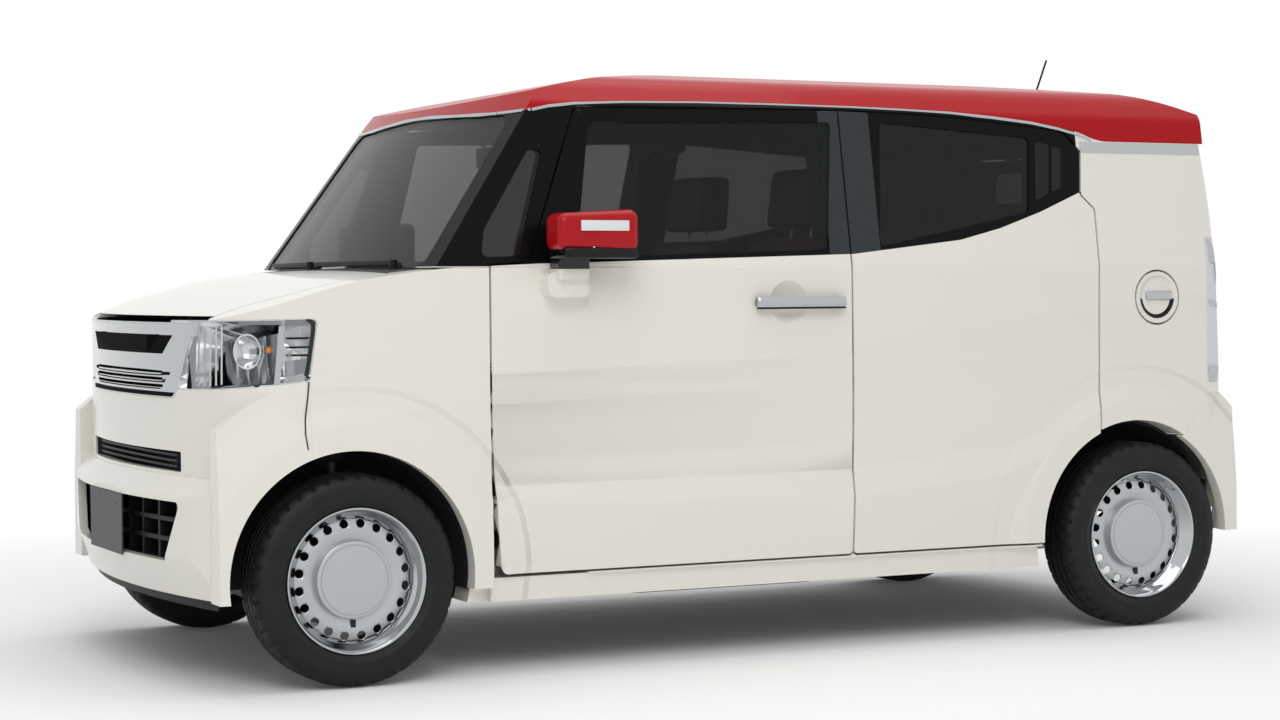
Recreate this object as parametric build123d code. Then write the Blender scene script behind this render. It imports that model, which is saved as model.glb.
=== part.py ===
from build123d import *
import os
from math import atan2, cos, hypot, pi, radians, sin, sqrt, tan

# A small boxy five-door car. Millimetres: +X forward, +Y left, +Z up.
# The origin is on the ground, midway along the length, on the centre plane.

# Main sizes of the car
LENGTH = 3395.0
HALF_LENGTH = LENGTH / 2
HALF_WIDTH = 737.0  # over the wheel arch flares
WHEELBASE = 2520.0
FRONT_OVERHANG = 470.5
FRONT_AXLE_X = HALF_LENGTH - FRONT_OVERHANG
REAR_AXLE_X = FRONT_AXLE_X - WHEELBASE
TRACK = 1305.0
WHEEL_Y = TRACK / 2

# Tyres and wheels
TYRE_RADIUS = 278.5
TYRE_WIDTH = 155.0
RIM_LIP_RADIUS = 191.0
DISC_FACE = 30.0  # outer face of the disc, outboard of the wheel's middle plane
CAP_RADIUS = 103.0
SPINDLE_RADIUS = 20.0
RUNNING_GAP = 0.05
AXLE_Z = TYRE_RADIUS

# Wheel arches and flares
ARCH_RADIUS = 336.0
ARCH_LEAD = 12.0  # how far the front arches' centres lie ahead of the axle
REAR_ARCH_LEAD = 35.0
ARCH_Z = 282.0
FLARE_OUTER = 505.0
FLARE_INNER = 400.0
FLARE_STEP = 13.0
WELL_INNER_Y = 405.0
LINER = 8.0

# Gaps
SEAM = 6.0  # between panels that move
SEAT = 0.3  # between a piece and what holds it
REBATE = 12.0  # how far a door's inner part stands back from its skin's edge

# Wall thicknesses
DOOR_SKIN = 22.0
DOOR_WALL = 70.0
FRAME_WALL = 36.0
ROOF_WALL = 28.0
PANEL = 22.0
GLASS = 5.0
GLASS_INSET = 4.0
FLOOR_Z = 200.0
FLOOR_WALL = 30.0

# Heights of the body
SILL_BOTTOM = 200.0
DOOR_BOTTOM = 270.0
BELT = 1092.0
SIDE_TOP = 1540.0
ROOF_TOP = 1672.0

# Half widths of the body's cross-section at these heights
SILL_Y = 706.0
WAIST_Y = 727.0
SHOULDER_Y = 720.0
RAIL_Y = 640.0
WAIST_Z = 640.0

# Bow of the front, the windscreen and the rear in plan
NOSE_BOW = 2600.0
SCREEN_BOW = 3600.0
REAR_BOW = 3000.0
NOSE_CORNER = 230.0
REAR_CORNER = 110.0

FAR = 2400.0  # past the car's ends, for cutting blocks
SMOOTH = -1.0  # a corner rounded as widely as its sides allow
SMOOTH_SHARE = 0.45


# Outlines: corners are (u, v, radius)


def turn_at(before, corner, after):
    a = atan2(corner[1] - before[1], corner[0] - before[0])
    b = atan2(after[1] - corner[1], after[0] - corner[0])
    return (b - a + pi) % (2 * pi) - pi


def moved_in(corners, depth):
    """The outline with every side moved inwards by depth, its round corners kept concentric."""
    count = len(corners)
    area = sum(corners[i - 1][0] * corners[i][1] - corners[i][0] * corners[i - 1][1] for i in range(count))
    hand = 1 if area > 0 else -1
    lines = []
    for i in range(count):
        u0, v0 = corners[i][:2]
        u1, v1 = corners[(i + 1) % count][:2]
        run = hypot(u1 - u0, v1 - v0)
        du, dv = (u1 - u0) / run, (v1 - v0) / run
        lines.append((u0 - dv * hand * depth, v0 + du * hand * depth, du, dv))
    result = []
    for i in range(count):
        au, av, adu, adv = lines[i - 1]
        bu, bv, bdu, bdv = lines[i]
        along = ((bu - au) * bdv - (bv - av) * bdu) / (adu * bdv - adv * bdu)
        radius = corners[i][2]
        if radius > 0:
            turn = turn_at(corners[i - 1], corners[i], corners[(i + 1) % count])
            radius = max(radius - depth * hand * (1 if turn > 0 else -1), 0)
        result.append((au + adu * along, av + adv * along, radius))
    return result


def outline(corners, place, depth=0.0):
    """A flat face from its corners; place turns (u, v) into a point of the car."""
    if depth:
        corners = moved_in(corners, depth)
    count = len(corners)
    ends = []
    for i in range(count):
        before, corner, after = corners[i - 1], corners[i], corners[(i + 1) % count]
        u, v, radius = corner
        if radius == 0:
            ends.append(((u, v), None, (u, v)))
            continue
        half = abs(turn_at(before, corner, after)) / 2
        back = hypot(before[0] - u, before[1] - v)
        ahead = hypot(after[0] - u, after[1] - v)
        if radius == SMOOTH:
            radius = SMOOTH_SHARE * min(back, ahead) / tan(half)
        reach = radius * tan(half)
        start = (u + (before[0] - u) * reach / back, v + (before[1] - v) * reach / back)
        end = (u + (after[0] - u) * reach / ahead, v + (after[1] - v) * reach / ahead)
        middle = ((start[0] + end[0]) / 2, (start[1] + end[1]) / 2)
        out = hypot(u - middle[0], v - middle[1])
        sink = radius / cos(half) - radius
        top = (u + (middle[0] - u) * sink / out, v + (middle[1] - v) * sink / out)
        ends.append((start, top, end))
    edges = []
    for i in range(count):
        start, top, end = ends[i]
        if top:
            edges.append(Edge.make_three_point_arc(place(*start), place(*top), place(*end)))
        follow = ends[(i + 1) % count][0]
        if hypot(follow[0] - end[0], follow[1] - end[1]) > 0.001:
            edges.append(Edge.make_line(place(*end), place(*follow)))
    return Face(Wire(edges))


def side_place(y):
    return lambda u, v: Vector(u, y, v)


def plan_place(z):
    return lambda u, v: Vector(u, v, z)


def front_place(x):
    return lambda u, v: Vector(x, u, v)


def side_prism(corners, y0, y1, depth=0.0):
    """A side view outline (x, z), carried across from y0 to y1."""
    return Solid.extrude(outline(corners, side_place(y0), depth), Vector(0, y1 - y0, 0))


def plan_prism(corners, z0, z1, depth=0.0):
    return Solid.extrude(outline(corners, plan_place(z0), depth), Vector(0, 0, z1 - z0))


def front_prism(corners, x0, x1, depth=0.0):
    return Solid.extrude(outline(corners, front_place(x0), depth), Vector(x1 - x0, 0, 0))


def bowed(corners, axis_x, half_angle, depth=0.0):
    """A side view outline turned about an upright axis at axis_x."""
    axis = Axis((axis_x, 0, 0), (0, 0, 1))
    start = outline(corners, side_place(0), depth).rotate(axis, -half_angle)
    return Solid.revolve(start, 2 * half_angle, axis)


def block(x0, x1, y0, y1, z0, z1):
    return Solid.make_box(x1 - x0, y1 - y0, z1 - z0, Plane((x0, y0, z0)))


def rod(start, end, radius):
    start, end = Vector(*start), Vector(*end)
    return Solid.make_cylinder(radius, (end - start).length, Plane(start, z_dir=end - start))


def across(x, z, radius, y0, y1):
    return rod((x, y0, z), (x, y1, z), radius)


def flipped(shape):
    return shape.mirror(Plane.XZ)


def both(shape):
    return [shape, flipped(shape)]


def both_sides(y, z0, z1):
    """Two blocks that hold all that lies further out than y."""
    return block(-FAR, FAR, y, 900, z0, z1) + block(-FAR, FAR, -900, -y, z0, z1)


def joined(pieces):
    result = pieces[0]
    for piece in pieces[1:]:
        result = result + piece
    return result


def carved(shape, tools):
    for tool in tools:
        shape = shape - tool
    return shape


def solids_of(shape):
    return list(shape.solids()) if not isinstance(shape, list) else [s for p in shape for s in p.solids()]


# The body's cross-section, half, from the sill up
BELOW = -200.0  # the sides' line runs on below the sill, so that walls can be cut from it
HALF_SECTION = [
    (SILL_Y - (WAIST_Y - SILL_Y) * (SILL_BOTTOM - BELOW) / (WAIST_Z - SILL_BOTTOM), BELOW, 0),
    (WAIST_Y, WAIST_Z, SMOOTH),
    (SHOULDER_Y, BELT, 90),
    (RAIL_Y, SIDE_TOP, 40),
    (560, 1618, 160),
    (0, ROOF_TOP + 14, SMOOTH),
]


def section_corners(depth):
    """The whole cross-section; far inside the wall the rail's short slope has run out."""
    half = HALF_SECTION if depth < RAIL_SLOPE_DEPTH else HALF_SECTION[:4] + HALF_SECTION[5:]
    right = [(-y, z, r) for y, z, r in reversed(half[:-1])]
    return half + right


RAIL_SLOPE_DEPTH = 50.0

# Side view lines of the body: (x, z, radius)
NOSE_X = HALF_LENGTH
GRILLE_X = 1648.0
BONNET_LINE = [
    (GRILLE_X, 958, 22),
    (1545, 998, SMOOTH),
    (1350, 1055, SMOOTH),
    (1225, 1076, SMOOTH),
    (1075, BELT, 0),
]
SCREEN_BASE_X = 1075.0
SCREEN_TOP_X = 757.0
SCREEN_TOP_Z = 1538.0
ROOF_LINE = [
    (900, 1508, 0),
    (727, 1562, SMOOTH),
    (500, 1614, SMOOTH),
    (150, 1659, SMOOTH),
    (-300, ROOF_TOP + 3, SMOOTH),
    (-900, 1668, SMOOTH),
    (-1250, 1640, SMOOTH),
    (-1450, 1602, SMOOTH),
    (-1600, 1551, SMOOTH),
    (-1760, 1485, 0),
]
REAR_LINE = [
    (-1662, 150, 0),
    (-1668, 800, SMOOTH),
    (-1646, 1300, SMOOTH),
    (-1628, 1466, 0),
    (-1644, 1467, 0),
    (-1636, 1750, 0),
]
SPOILER_Z = 1466.0
BODY_REAR_X = -1720.0
BODY_FRONT_X = 1700.0

CABIN_FRONT_X = 985.0
REAR_WALL = 60.0


def nose_waste(depth):
    corners = [(GRILLE_X, 100, 0)] + BONNET_LINE + [(FAR, BELT, 0), (FAR, 100, 0)]
    return bowed(corners, GRILLE_X - NOSE_BOW, 24, -depth)


def screen_waste(depth):
    """What lies ahead of the windscreen's surface, or of one depth behind it."""
    slope = (SCREEN_BASE_X - SCREEN_TOP_X) / (SCREEN_TOP_Z - BELT)
    top_z = 1800.0
    back = depth * hypot(1, slope)
    base_x = SCREEN_BASE_X - back
    corners = [(base_x, BELT, 0), (base_x - (top_z - BELT) * slope, top_z, 0), (FAR, top_z, 0), (FAR, BELT, 0)]
    return bowed(corners, SCREEN_BASE_X - SCREEN_BOW, 18)


def rear_waste(depth):
    corners = [(x + depth, z, r) for x, z, r in REAR_LINE]
    corners += [(-FAR, REAR_LINE[-1][1], 0), (-FAR, 150, 0)]
    return bowed(corners, REAR_LINE[1][0] + REAR_BOW, 18)


def roof_waste(depth):
    corners = [(x, z - depth, r) for x, z, r in ROOF_LINE]
    corners += [(-1760, 1900, 0), (900, 1900, 0)]
    return side_prism(corners, -900, 900)


def nose_corner_waste(nose_x, half_width, radius, z0, z1):
    """What lies outside the round corner where the bowed nose meets the side."""
    centre_y = half_width - radius
    bow_x = nose_x - NOSE_BOW
    centre_x = bow_x + sqrt((NOSE_BOW - radius) ** 2 - centre_y ** 2)
    tip = Vector(centre_x - bow_x, centre_y).normalized() * NOSE_BOW
    touch = (bow_x + tip.X, tip.Y)
    middle_angle = (atan2(touch[1] - centre_y, touch[0] - centre_x) + pi / 2) / 2
    middle = (centre_x + radius * cos(middle_angle), centre_y + radius * sin(middle_angle))
    place = plan_place(z0)
    edges = [
        Edge.make_three_point_arc(place(*touch), place(*middle), place(centre_x, half_width)),
        Edge.make_line(place(centre_x, half_width), place(centre_x, half_width + 200)),
        Edge.make_line(place(centre_x, half_width + 200), place(FAR, half_width + 200)),
        Edge.make_line(place(FAR, half_width + 200), place(FAR, touch[1])),
        Edge.make_line(place(FAR, touch[1]), place(*touch)),
    ]
    return both(Solid.extrude(Face(Wire(edges)), Vector(0, 0, z1 - z0)))


def rear_corner_waste(rear_x, half_width, radius, z0, z1):
    corners = [
        (rear_x + radius, half_width + 200, 0),
        (rear_x + radius, half_width, 0),
        (rear_x, half_width, radius - 0.01),
        (rear_x, half_width - radius, 0),
        (-FAR, half_width - radius, 0),
        (-FAR, half_width + 200, 0),
    ]
    return both(plan_prism(corners, z0, z1))


def section_prism(depth=0.0, x0=BODY_REAR_X, x1=BODY_FRONT_X):
    return front_prism(section_corners(depth), x0, x1, depth)


def side_slab(outer, inner, corners, margin=0.0):
    """The left side's wall between two depths, within a side view outline."""
    region = side_prism(corners, 480, 900, margin)
    return (region & section_prism(outer)) - section_prism(inner)


def body_block(depth=0.0):
    """The outer form of the body above the bumpers, or one depth inside it, as one solid."""
    tools = [nose_waste(depth), screen_waste(depth), rear_waste(depth), roof_waste(depth)]
    half = WAIST_Y + 1 - depth
    tools += nose_corner_waste(GRILLE_X - depth, half, NOSE_CORNER - depth, 100, 1200)
    tools += rear_corner_waste(REAR_LINE[1][0] + depth, half, REAR_CORNER - depth, 100, 1800)
    return carved(section_prism(depth), tools)


def cabin_space():
    """The hollow inside the cabin: deep walls below the belt, slim frames above."""
    ledge = BELT - 24
    low = section_prism(DOOR_WALL) & block(-FAR, CABIN_FRONT_X, -900, 900, FLOOR_Z + FLOOR_WALL, ledge)
    high = section_prism(FRAME_WALL) & block(-FAR, 1200, -900, 900, ledge, 1900)
    tools = [screen_waste(FRAME_WALL), rear_waste(REAR_WALL), roof_waste(ROOF_WALL)]
    return carved(low + high, tools)


# Side view outlines of the left side: (x, z, radius)
B_SEAM_X = -271.0
HINGE_POST_X1 = 972.0
POST_LEDGE = 60.0
FRONT_DOOR = [
    (826, DOOR_BOTTOM, 26),
    (849, 640, SMOOTH),
    (847, 1098, 8),
    (735, 1103, 10),
    (563, 1529, 22),
    (B_SEAM_X, 1540, 4),
    (B_SEAM_X, DOOR_BOTTOM, 14),
]
REAR_DOOR = [
    (B_SEAM_X, DOOR_BOTTOM, 14),
    (B_SEAM_X, 1540, 4),
    (-655, 1531, SMOOTH),
    (-1050, 1493, 30),
    (-1106, 1436, 14),
    (-1090, 1306, 10),
    (-1137, 1262, 24),
    (-1131, 1019, SMOOTH),
    (-1127, 500, 0),
    (-1000, 380, 0),
    (-927, DOOR_BOTTOM, 10),
]
FRONT_WINDOW = [
    (592, 1118, 8),
    (524, 1486, 18),
    (-243, 1504, 12),
    (-197, 1139, 12),
]
REAR_WINDOW = [
    (-371, 1146, 12),
    (-409, 1508, 12),
    (-925, 1472, 16),
    (-897, 1250, 22),
]
CORNER_WINDOW = [
    (869, 1120, 14),
    (858, 1190, 40),
    (712, 1408, 16),
    (668, 1408, 12),
    (762, 1122, 16),
]
FUEL_X = -1346.0
FUEL_Z = 996.0
FUEL_RADIUS = 84.0

# The red roof stops on this line, the top of the doors and quarter panels
ROOF_EDGE = [
    (900, 1490, 0),
    (709, 1516, 0),
    (564, 1539, SMOOTH),
    (174, 1551, SMOOTH),
    (-324, 1550, SMOOTH),
    (-655, 1544, SMOOTH),
    (-940, 1524, SMOOTH),
    (-1100, 1497, SMOOTH),
    (-1175, SPOILER_Z + 1, SMOOTH),
    (-1800, SPOILER_Z, 0),
    (-1800, 1900, 0),
    (900, 1900, 0),
]
ARCHES = [
    (FRONT_AXLE_X + ARCH_LEAD, FRONT_AXLE_X),
    (REAR_AXLE_X + REAR_ARCH_LEAD, REAR_AXLE_X),
]


def arch_tools(grow=0.0):
    """The four wheel wells as plain drums, grown all round."""
    tools = []
    for x, _ in ARCHES:
        tools += both(across(x, ARCH_Z, ARCH_RADIUS + grow, WELL_INNER_Y - grow, 900))
    return tools


def flare(x):
    """A sloping ring round a wheel arch, standing out from the left side."""
    place = lambda u, v: Vector(x + u, v, ARCH_Z)
    lip = HALF_WIDTH
    corners = [
        (ARCH_RADIUS - 60, 660, 0),
        (FLARE_OUTER + 30, 660, 0),
        (FLARE_OUTER + 30, lip - FLARE_STEP - 12, 0),
        (FLARE_OUTER, lip - FLARE_STEP - 10, 0),
        (FLARE_INNER, lip - 2, 12),
        (ARCH_RADIUS, lip, 0),
        (ARCH_RADIUS - 60, lip, 0),
    ]
    return Solid.revolve(outline(corners, place), 360, Axis((x, 0, ARCH_Z), (0, 1, 0)))


def cladding():
    """The step along the doors' lower edge: x, crease height, foot height."""
    stations = [(900, 508, 463), (-264, 515, 438), (-800, 572, 480), (-1000, 640, 560)]
    faces = []
    for x, crease, foot in stations:
        corners = [
            (640, 240, 0),
            (SILL_Y + 14, 240, 0),
            (HALF_WIDTH - 4, foot, 0),
            (WAIST_Y - 6, crease, 0),
            (640, crease, 0),
        ]
        faces.append(outline(corners, front_place(x)))
    spans = [Solid.make_loft([a.outer_wire(), b.outer_wire()], True) for a, b in zip(faces, faces[1:])]
    return joined(spans)


def side_skin():
    """What stands out from the left side's plain surface: flares and the doors' lower step."""
    step = cladding()
    rings = [flare(x) for x, _ in ARCHES]
    return joined([step] + rings) & block(-1640, 1600, 640, 800, 235, 900)


def panel_region(corners, margin=SEAM / 2):
    return side_prism(corners, 480, 900, margin)


SKIN = side_skin()
BODY = body_block()
CABIN = cabin_space()


def left_side_shell():
    return BODY + SKIN


def door(corners, window):
    """A door: a skin as wide as its opening, a set-back inner part and a cut window."""
    belt_cut = block(-2000, 2000, 400, 900, 0, BELT)
    skin = panel_region(corners) & (left_side_shell() - section_prism(DOOR_SKIN))
    inner = panel_region(corners, SEAM / 2 + REBATE) & (section_prism(DOOR_SKIN / 2) - section_prism(FRAME_WALL))
    deep = panel_region(corners, SEAM / 2 + REBATE) & belt_cut
    deep = deep & (section_prism(DOOR_SKIN / 2) - section_prism(DOOR_WALL))
    made = skin + inner + deep
    made = made - side_prism(window, 400, 900)
    return carved(made, arch_tools())


def window_pane(window):
    return side_slab(GLASS_INSET, GLASS_INSET + GLASS, window, SEAT)


# Bonnet outline seen from above: (x, y, radius)
BONNET_PLAN = [
    (1110, 662, 20),
    (1228, 660, SMOOTH),
    (1390, 628, SMOOTH),
    (1470, 590, SMOOTH),
    (1560, 575, 0),
    (1720, 575, 0),
    (1720, 0, 0),
    (1110, 0, 0),
]


def bonnet_plan():
    half = BONNET_PLAN[:-2]
    return half + [(x, -y, r) for x, y, r in reversed(half)]


COWL_Z0 = 1040.0
COWL_HALF = 640.0
COWL_X0 = HINGE_POST_X1 + SEAT
LAMP_TOP = 962.0
LAMP_SIDE = [
    (1328, LAMP_TOP, 14),
    (1352, 800, 10),
    (1640, 772, 0),
    (1720, 772, 0),
    (1720, 955, 0),
]
GRILLE_FRONT = [
    (511, 951, 0),
    (408, 752, 30),
    (-408, 752, 30),
    (-511, 951, 0),
]
LAMP_DEPTH = 90.0
FENDER_SPLIT_X = 1352.0


def bonnet():
    sheet = BODY - body_block(PANEL)
    lid = sheet & plan_prism(bonnet_plan(), 940, 1200, SEAM / 2)
    return lid & block(1000, 1720, -800, 800, LAMP_TOP + SEAM, 1200)


def fender():
    """Left front fender, from the door to the lamp, with half of the arch in it."""
    plate = (left_side_shell() - body_block(PANEL)) & block(780, 1700, 300, 900, 240, BELT - 1)
    plate = plate - plan_prism(bonnet_plan(), 900, 1200, -SEAM / 2)
    plate = plate - side_prism(FRONT_DOOR, 480, 900, -SEAM / 2)
    plate = plate - side_prism([(600, 200, 0), (600, 1098, 0), (848, 1098, 0), (848, 200, 0)], 480, 900)
    plate = plate - side_prism(LAMP_SIDE, 300, 900, -SEAT)
    plate = plate - block(COWL_X0 - 200, 1140, 0, COWL_HALF + SEAT, 900, 1200)
    plate = plate - (section_prism(POST_LEDGE) & block(600, HINGE_POST_X1 + SEAT, 0, 900, 900, 1200))
    low = [(FENDER_SPLIT_X, 100, 0), (FENDER_SPLIT_X, 806, 0), (1750, 806, 0), (1750, 100, 0)]
    plate = plate - side_prism(low, 300, 900)
    front = [(1560, 900, 0), (1560, 1200, 0), (1750, 1200, 0), (1750, 900, 0)]
    plate = plate - side_prism(front, 300, 575)
    plate = carved(plate, arch_tools())
    return plate


def headlamp():
    """Left lamp unit: a lens and bowl between the grille and the fender."""
    unit = (BODY - body_block(LAMP_DEPTH)) & side_prism(LAMP_SIDE, 380, 900)
    unit = unit & block(1300, 1720, 380, 900, 700, LAMP_TOP)
    unit = unit - front_prism(GRILLE_FRONT, 1300, 1750, -SEAT)
    return unit - side_prism(LAMP_SIDE, 0, 380)


GRILLE_SLOT = [
    (300, 918, 8),
    (250, 872, 10),
    (-250, 872, 10),
    (-300, 918, 8),
]
GRILLE_BARS = [820, 801, 782]
GRILLE_BAR_HALF = 330.0
GRILLE_DEPTH = 45.0


def grille():
    face = (BODY - body_block(GRILLE_DEPTH)) & front_prism(GRILLE_FRONT, 1300, 1750)
    face = face - front_prism(GRILLE_SLOT, 1300, 1750)
    for z in GRILLE_BARS:
        slot = [(-GRILLE_BAR_HALF, z - 4, 0), (GRILLE_BAR_HALF, z - 4, 0), (GRILLE_BAR_HALF, z + 4, 0), (-GRILLE_BAR_HALF, z + 4, 0)]
        face = face - front_prism(slot, GRILLE_X - 40, 1750)
    return face


BUMPER_Z0 = 236.0
BUMPER_LOW = [
    (1250, BUMPER_Z0, 0),
    (1664, BUMPER_Z0, 0),
    (NOSE_X, 340, 40),
    (NOSE_X, 498, 30),
    (1652, 548, 0),
    (1250, 548, 0),
]
LIP_LOW = [
    (1250, 206, 0),
    (1640, 206, 12),
    (1656, BUMPER_Z0 - SEAT, 0),
    (1250, BUMPER_Z0 - SEAT, 0),
]
AIR_SLOT = [
    (438, 558, 6),
    (438, 612, 6),
    (-438, 612, 6),
    (-438, 558, 6),
]
INTAKE = [
    (530, 486, 14),
    (438, 328, 14),
    (-438, 328, 14),
    (-530, 486, 14),
]
BUMPER_WALL = 24.0


def low_nose(corners, depth=0.0):
    """The bumper's lower part: a bowed beam with round ends."""
    half = HALF_WIDTH - 1 - depth
    beam = bowed(corners, NOSE_X - NOSE_BOW, 22, depth)
    beam = beam & block(1200, 1750, -half, half, 100, 700)
    return carved(beam, nose_corner_waste(NOSE_X - depth, half, NOSE_CORNER - depth, 100, 700))


def front_bumper():
    upper = left_side_shell() + flipped(SKIN)
    upper = upper & block(FENDER_SPLIT_X, 1720, -900, 900, BUMPER_Z0, 804)
    upper = upper - side_prism(LAMP_SIDE, -900, 900, -SEAT)
    upper = upper - front_prism(GRILLE_FRONT, 1300, 1750, -SEAT)
    made = upper + low_nose(BUMPER_LOW)
    inside = [(x, z, 0) for x, z, _ in BUMPER_LOW]
    made = made - low_nose(inside, BUMPER_WALL)
    hollow = body_block(BUMPER_WALL) & block(1200, 1750, -900, 900, 100, 1200)
    made = made - hollow
    made = made - block(NOSE_X - 4 - SEAT, 1750, -PLATE_HALF - SEAT, PLATE_HALF + SEAT, PLATE_Z0 - SEAT, 500)
    made = made - front_prism(AIR_SLOT, 1300, 1750)
    made = made - front_prism(INTAKE, 1300, 1750)
    made = made & block(FENDER_SPLIT_X + SEAT, 1720, -900, 900, BUMPER_Z0, 804)
    return carved(made, arch_tools())


def bumper_lip():
    return carved(low_nose(LIP_LOW), arch_tools()) - block(1200, 1500, -900, 900, 0, 500)


INTAKE_BARS = [433, 380]


def intake_mesh():
    """Dark bars behind the bumper's openings."""
    back = NOSE_X - BUMPER_WALL - 1
    plate = bowed([(back - 60, 322, 0), (back - 8, 322, 0), (back - 8, 494, 0), (back - 60, 494, 0)], NOSE_X - NOSE_BOW, 14)
    holes = []
    for i, (z0, z1) in enumerate([(330, 374), (386, 427), (439, 486)]):
        for column in range(-4, 4):
            y0 = column * 112 + 6
            holes.append(block(1400, 1750, y0, y0 + 100, z0, z1))
    inside = [(x, z, 0) for x, z, _ in BUMPER_LOW]
    plate = plate & low_nose(inside, BUMPER_WALL + SEAT)
    return carved(plate, holes + arch_tools(LINER + SEAT))


REAR_BUMPER_SIDE = [
    (-1420, 560, 0),
    (-1548, 704, 0),
    (-1760, 704, 0),
    (-1760, 278, 0),
    (-1420, 278, 0),
]


REAR_BUMPER_FACE = [
    (-1672, 704, 0),
    (0.5 - HALF_LENGTH, 570, 60),
    (0.5 - HALF_LENGTH, 400, 60),
    (-1655, 278, 0),
]
REAR_BUMPER_FRONT_X = -1300.0
REAR_BUMPER_TOP = 560.0  # under the tailgate
REAR_BUMPER_TOP_HALF = 618.0
REAR_BUMPER_SHELF_X = -1604.0


def low_tail(depth=0.0, reach=0.0):
    """The rear bumper's bowed form with round corners, or one depth inside it."""
    half = HALF_WIDTH - 6 - depth
    rear_x = 0.5 - HALF_LENGTH
    face = [(x + depth, z, r) for x, z, r in REAR_BUMPER_FACE]
    top, foot = face[0], face[-1]
    corners = [(top[0], top[1] + reach, 0)] + face[1:-1] + [(foot[0], foot[1] - reach, 0)]
    corners += [(REAR_BUMPER_FRONT_X, foot[1] - reach, 0), (REAR_BUMPER_FRONT_X, top[1] + reach, 0)]
    form = bowed(corners, rear_x + REAR_BOW, 22)
    form = form & block(-1760, -1300, -half, half, 100, 900)
    return carved(form, rear_corner_waste(rear_x + 60 + depth, half, 120 - depth, 100, 900))


def rear_bumper():
    flares = (SKIN + flipped(SKIN)) & side_prism(REAR_BUMPER_SIDE, -900, 900)
    form = (low_tail() & side_prism(REAR_BUMPER_SIDE, -900, 900)) + flares
    step = REAR_BUMPER_TOP_HALF
    form = form - block(-1760, -1300, -step, step, REAR_BUMPER_TOP, 800)
    inside = low_tail(BUMPER_WALL, 100)
    form = form - (inside & block(-1760, -1300, -900, 900, 200, REAR_BUMPER_TOP - BUMPER_WALL))
    form = form - (inside & both_sides(step + BUMPER_WALL, 200, 800))
    wall = HALF_WIDTH - 40
    form = form - block(REAR_BUMPER_SHELF_X, -1300, -wall, wall, 200, 800)
    return carved(form, arch_tools())


# Tailgate seen from behind: (y, z, radius)
TAILGATE_Z0 = 566.0
TAILGATE_Z1 = 1464.0
TAILGATE = [
    (612, TAILGATE_Z0, 30),
    (612, 1150, SMOOTH),
    (560, TAILGATE_Z1, 20),
    (-560, TAILGATE_Z1, 20),
    (-612, 1150, SMOOTH),
    (-612, TAILGATE_Z0, 30),
]
TAILGATE_WINDOW = [
    (520, 1120, 30),
    (500, 1415, 40),
    (-500, 1415, 40),
    (-520, 1120, 30),
]


def tailgate():
    wall = BODY - (rear_cut(REAR_WALL) & block(-1800, 0, -900, 900, 0, 1900))
    gate = wall & front_prism(TAILGATE, -1760, -1500, SEAM / 2)
    gate = gate - front_prism(TAILGATE_WINDOW, -1760, -1400)
    return gate


def rear_cut(depth):
    return section_prism(-10) - rear_waste(depth)


def tailgate_glass():
    sheet = (section_prism(0) - rear_waste(GLASS_INSET)) - (section_prism(-10) - rear_waste(GLASS_INSET + GLASS))
    return sheet & front_prism(TAILGATE_WINDOW, -1760, -1500, SEAT)


TAIL_LAMP = [(-1535, 735, 8), (-1535, 1180, 8), (-1760, 1180, 0), (-1760, 735, 0)]


def tail_lamp():
    unit = (BODY - body_block(45)) & side_prism(TAIL_LAMP, 620, 900)
    return unit


WINDSCREEN = [
    (652, BELT, 30),
    (590, 1506, 60),
    (0, 1530, SMOOTH),
    (-590, 1506, 60),
    (-652, BELT, 30),
]
SCREEN_WALL_X0 = 500.0
SCREEN_WALL_X1 = 1200.0
POST_HALF = 50.0
POST_DEPTH = 38.0
POST_GAP = 8.0
SILL_DEPTH = 120.0
SILL_TOP = DOOR_BOTTOM - SEAM / 2 - 4


HINGE_LUGS = [(390, 450), (880, 940)]  # heights of each door's two hinges
LUG_DEPTH0 = 30.0
LUG_DEPTH1 = 90.0
FUEL_RECESS_Y = 690.0
FUEL_LID_WALL = 14.0


def hinge_lugs():
    """Blocks that reach from the posts to the doors' front edges and carry their hinges."""
    lugs = []
    wall = section_prism(LUG_DEPTH0) - section_prism(LUG_DEPTH1)
    inside = SEAM / 2 + REBATE
    for z0, z1 in HINGE_LUGS:
        front = block(790, 870, 400, 900, z0, z1) & wall
        lugs.append(front - side_prism(FRONT_DOOR, 400, 900, inside - SEAT))
        rear = block(B_SEAM_X - inside + SEAT, B_SEAM_X, 400, 900, z0, z1) & wall
        lugs.append(rear)
    return lugs


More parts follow.
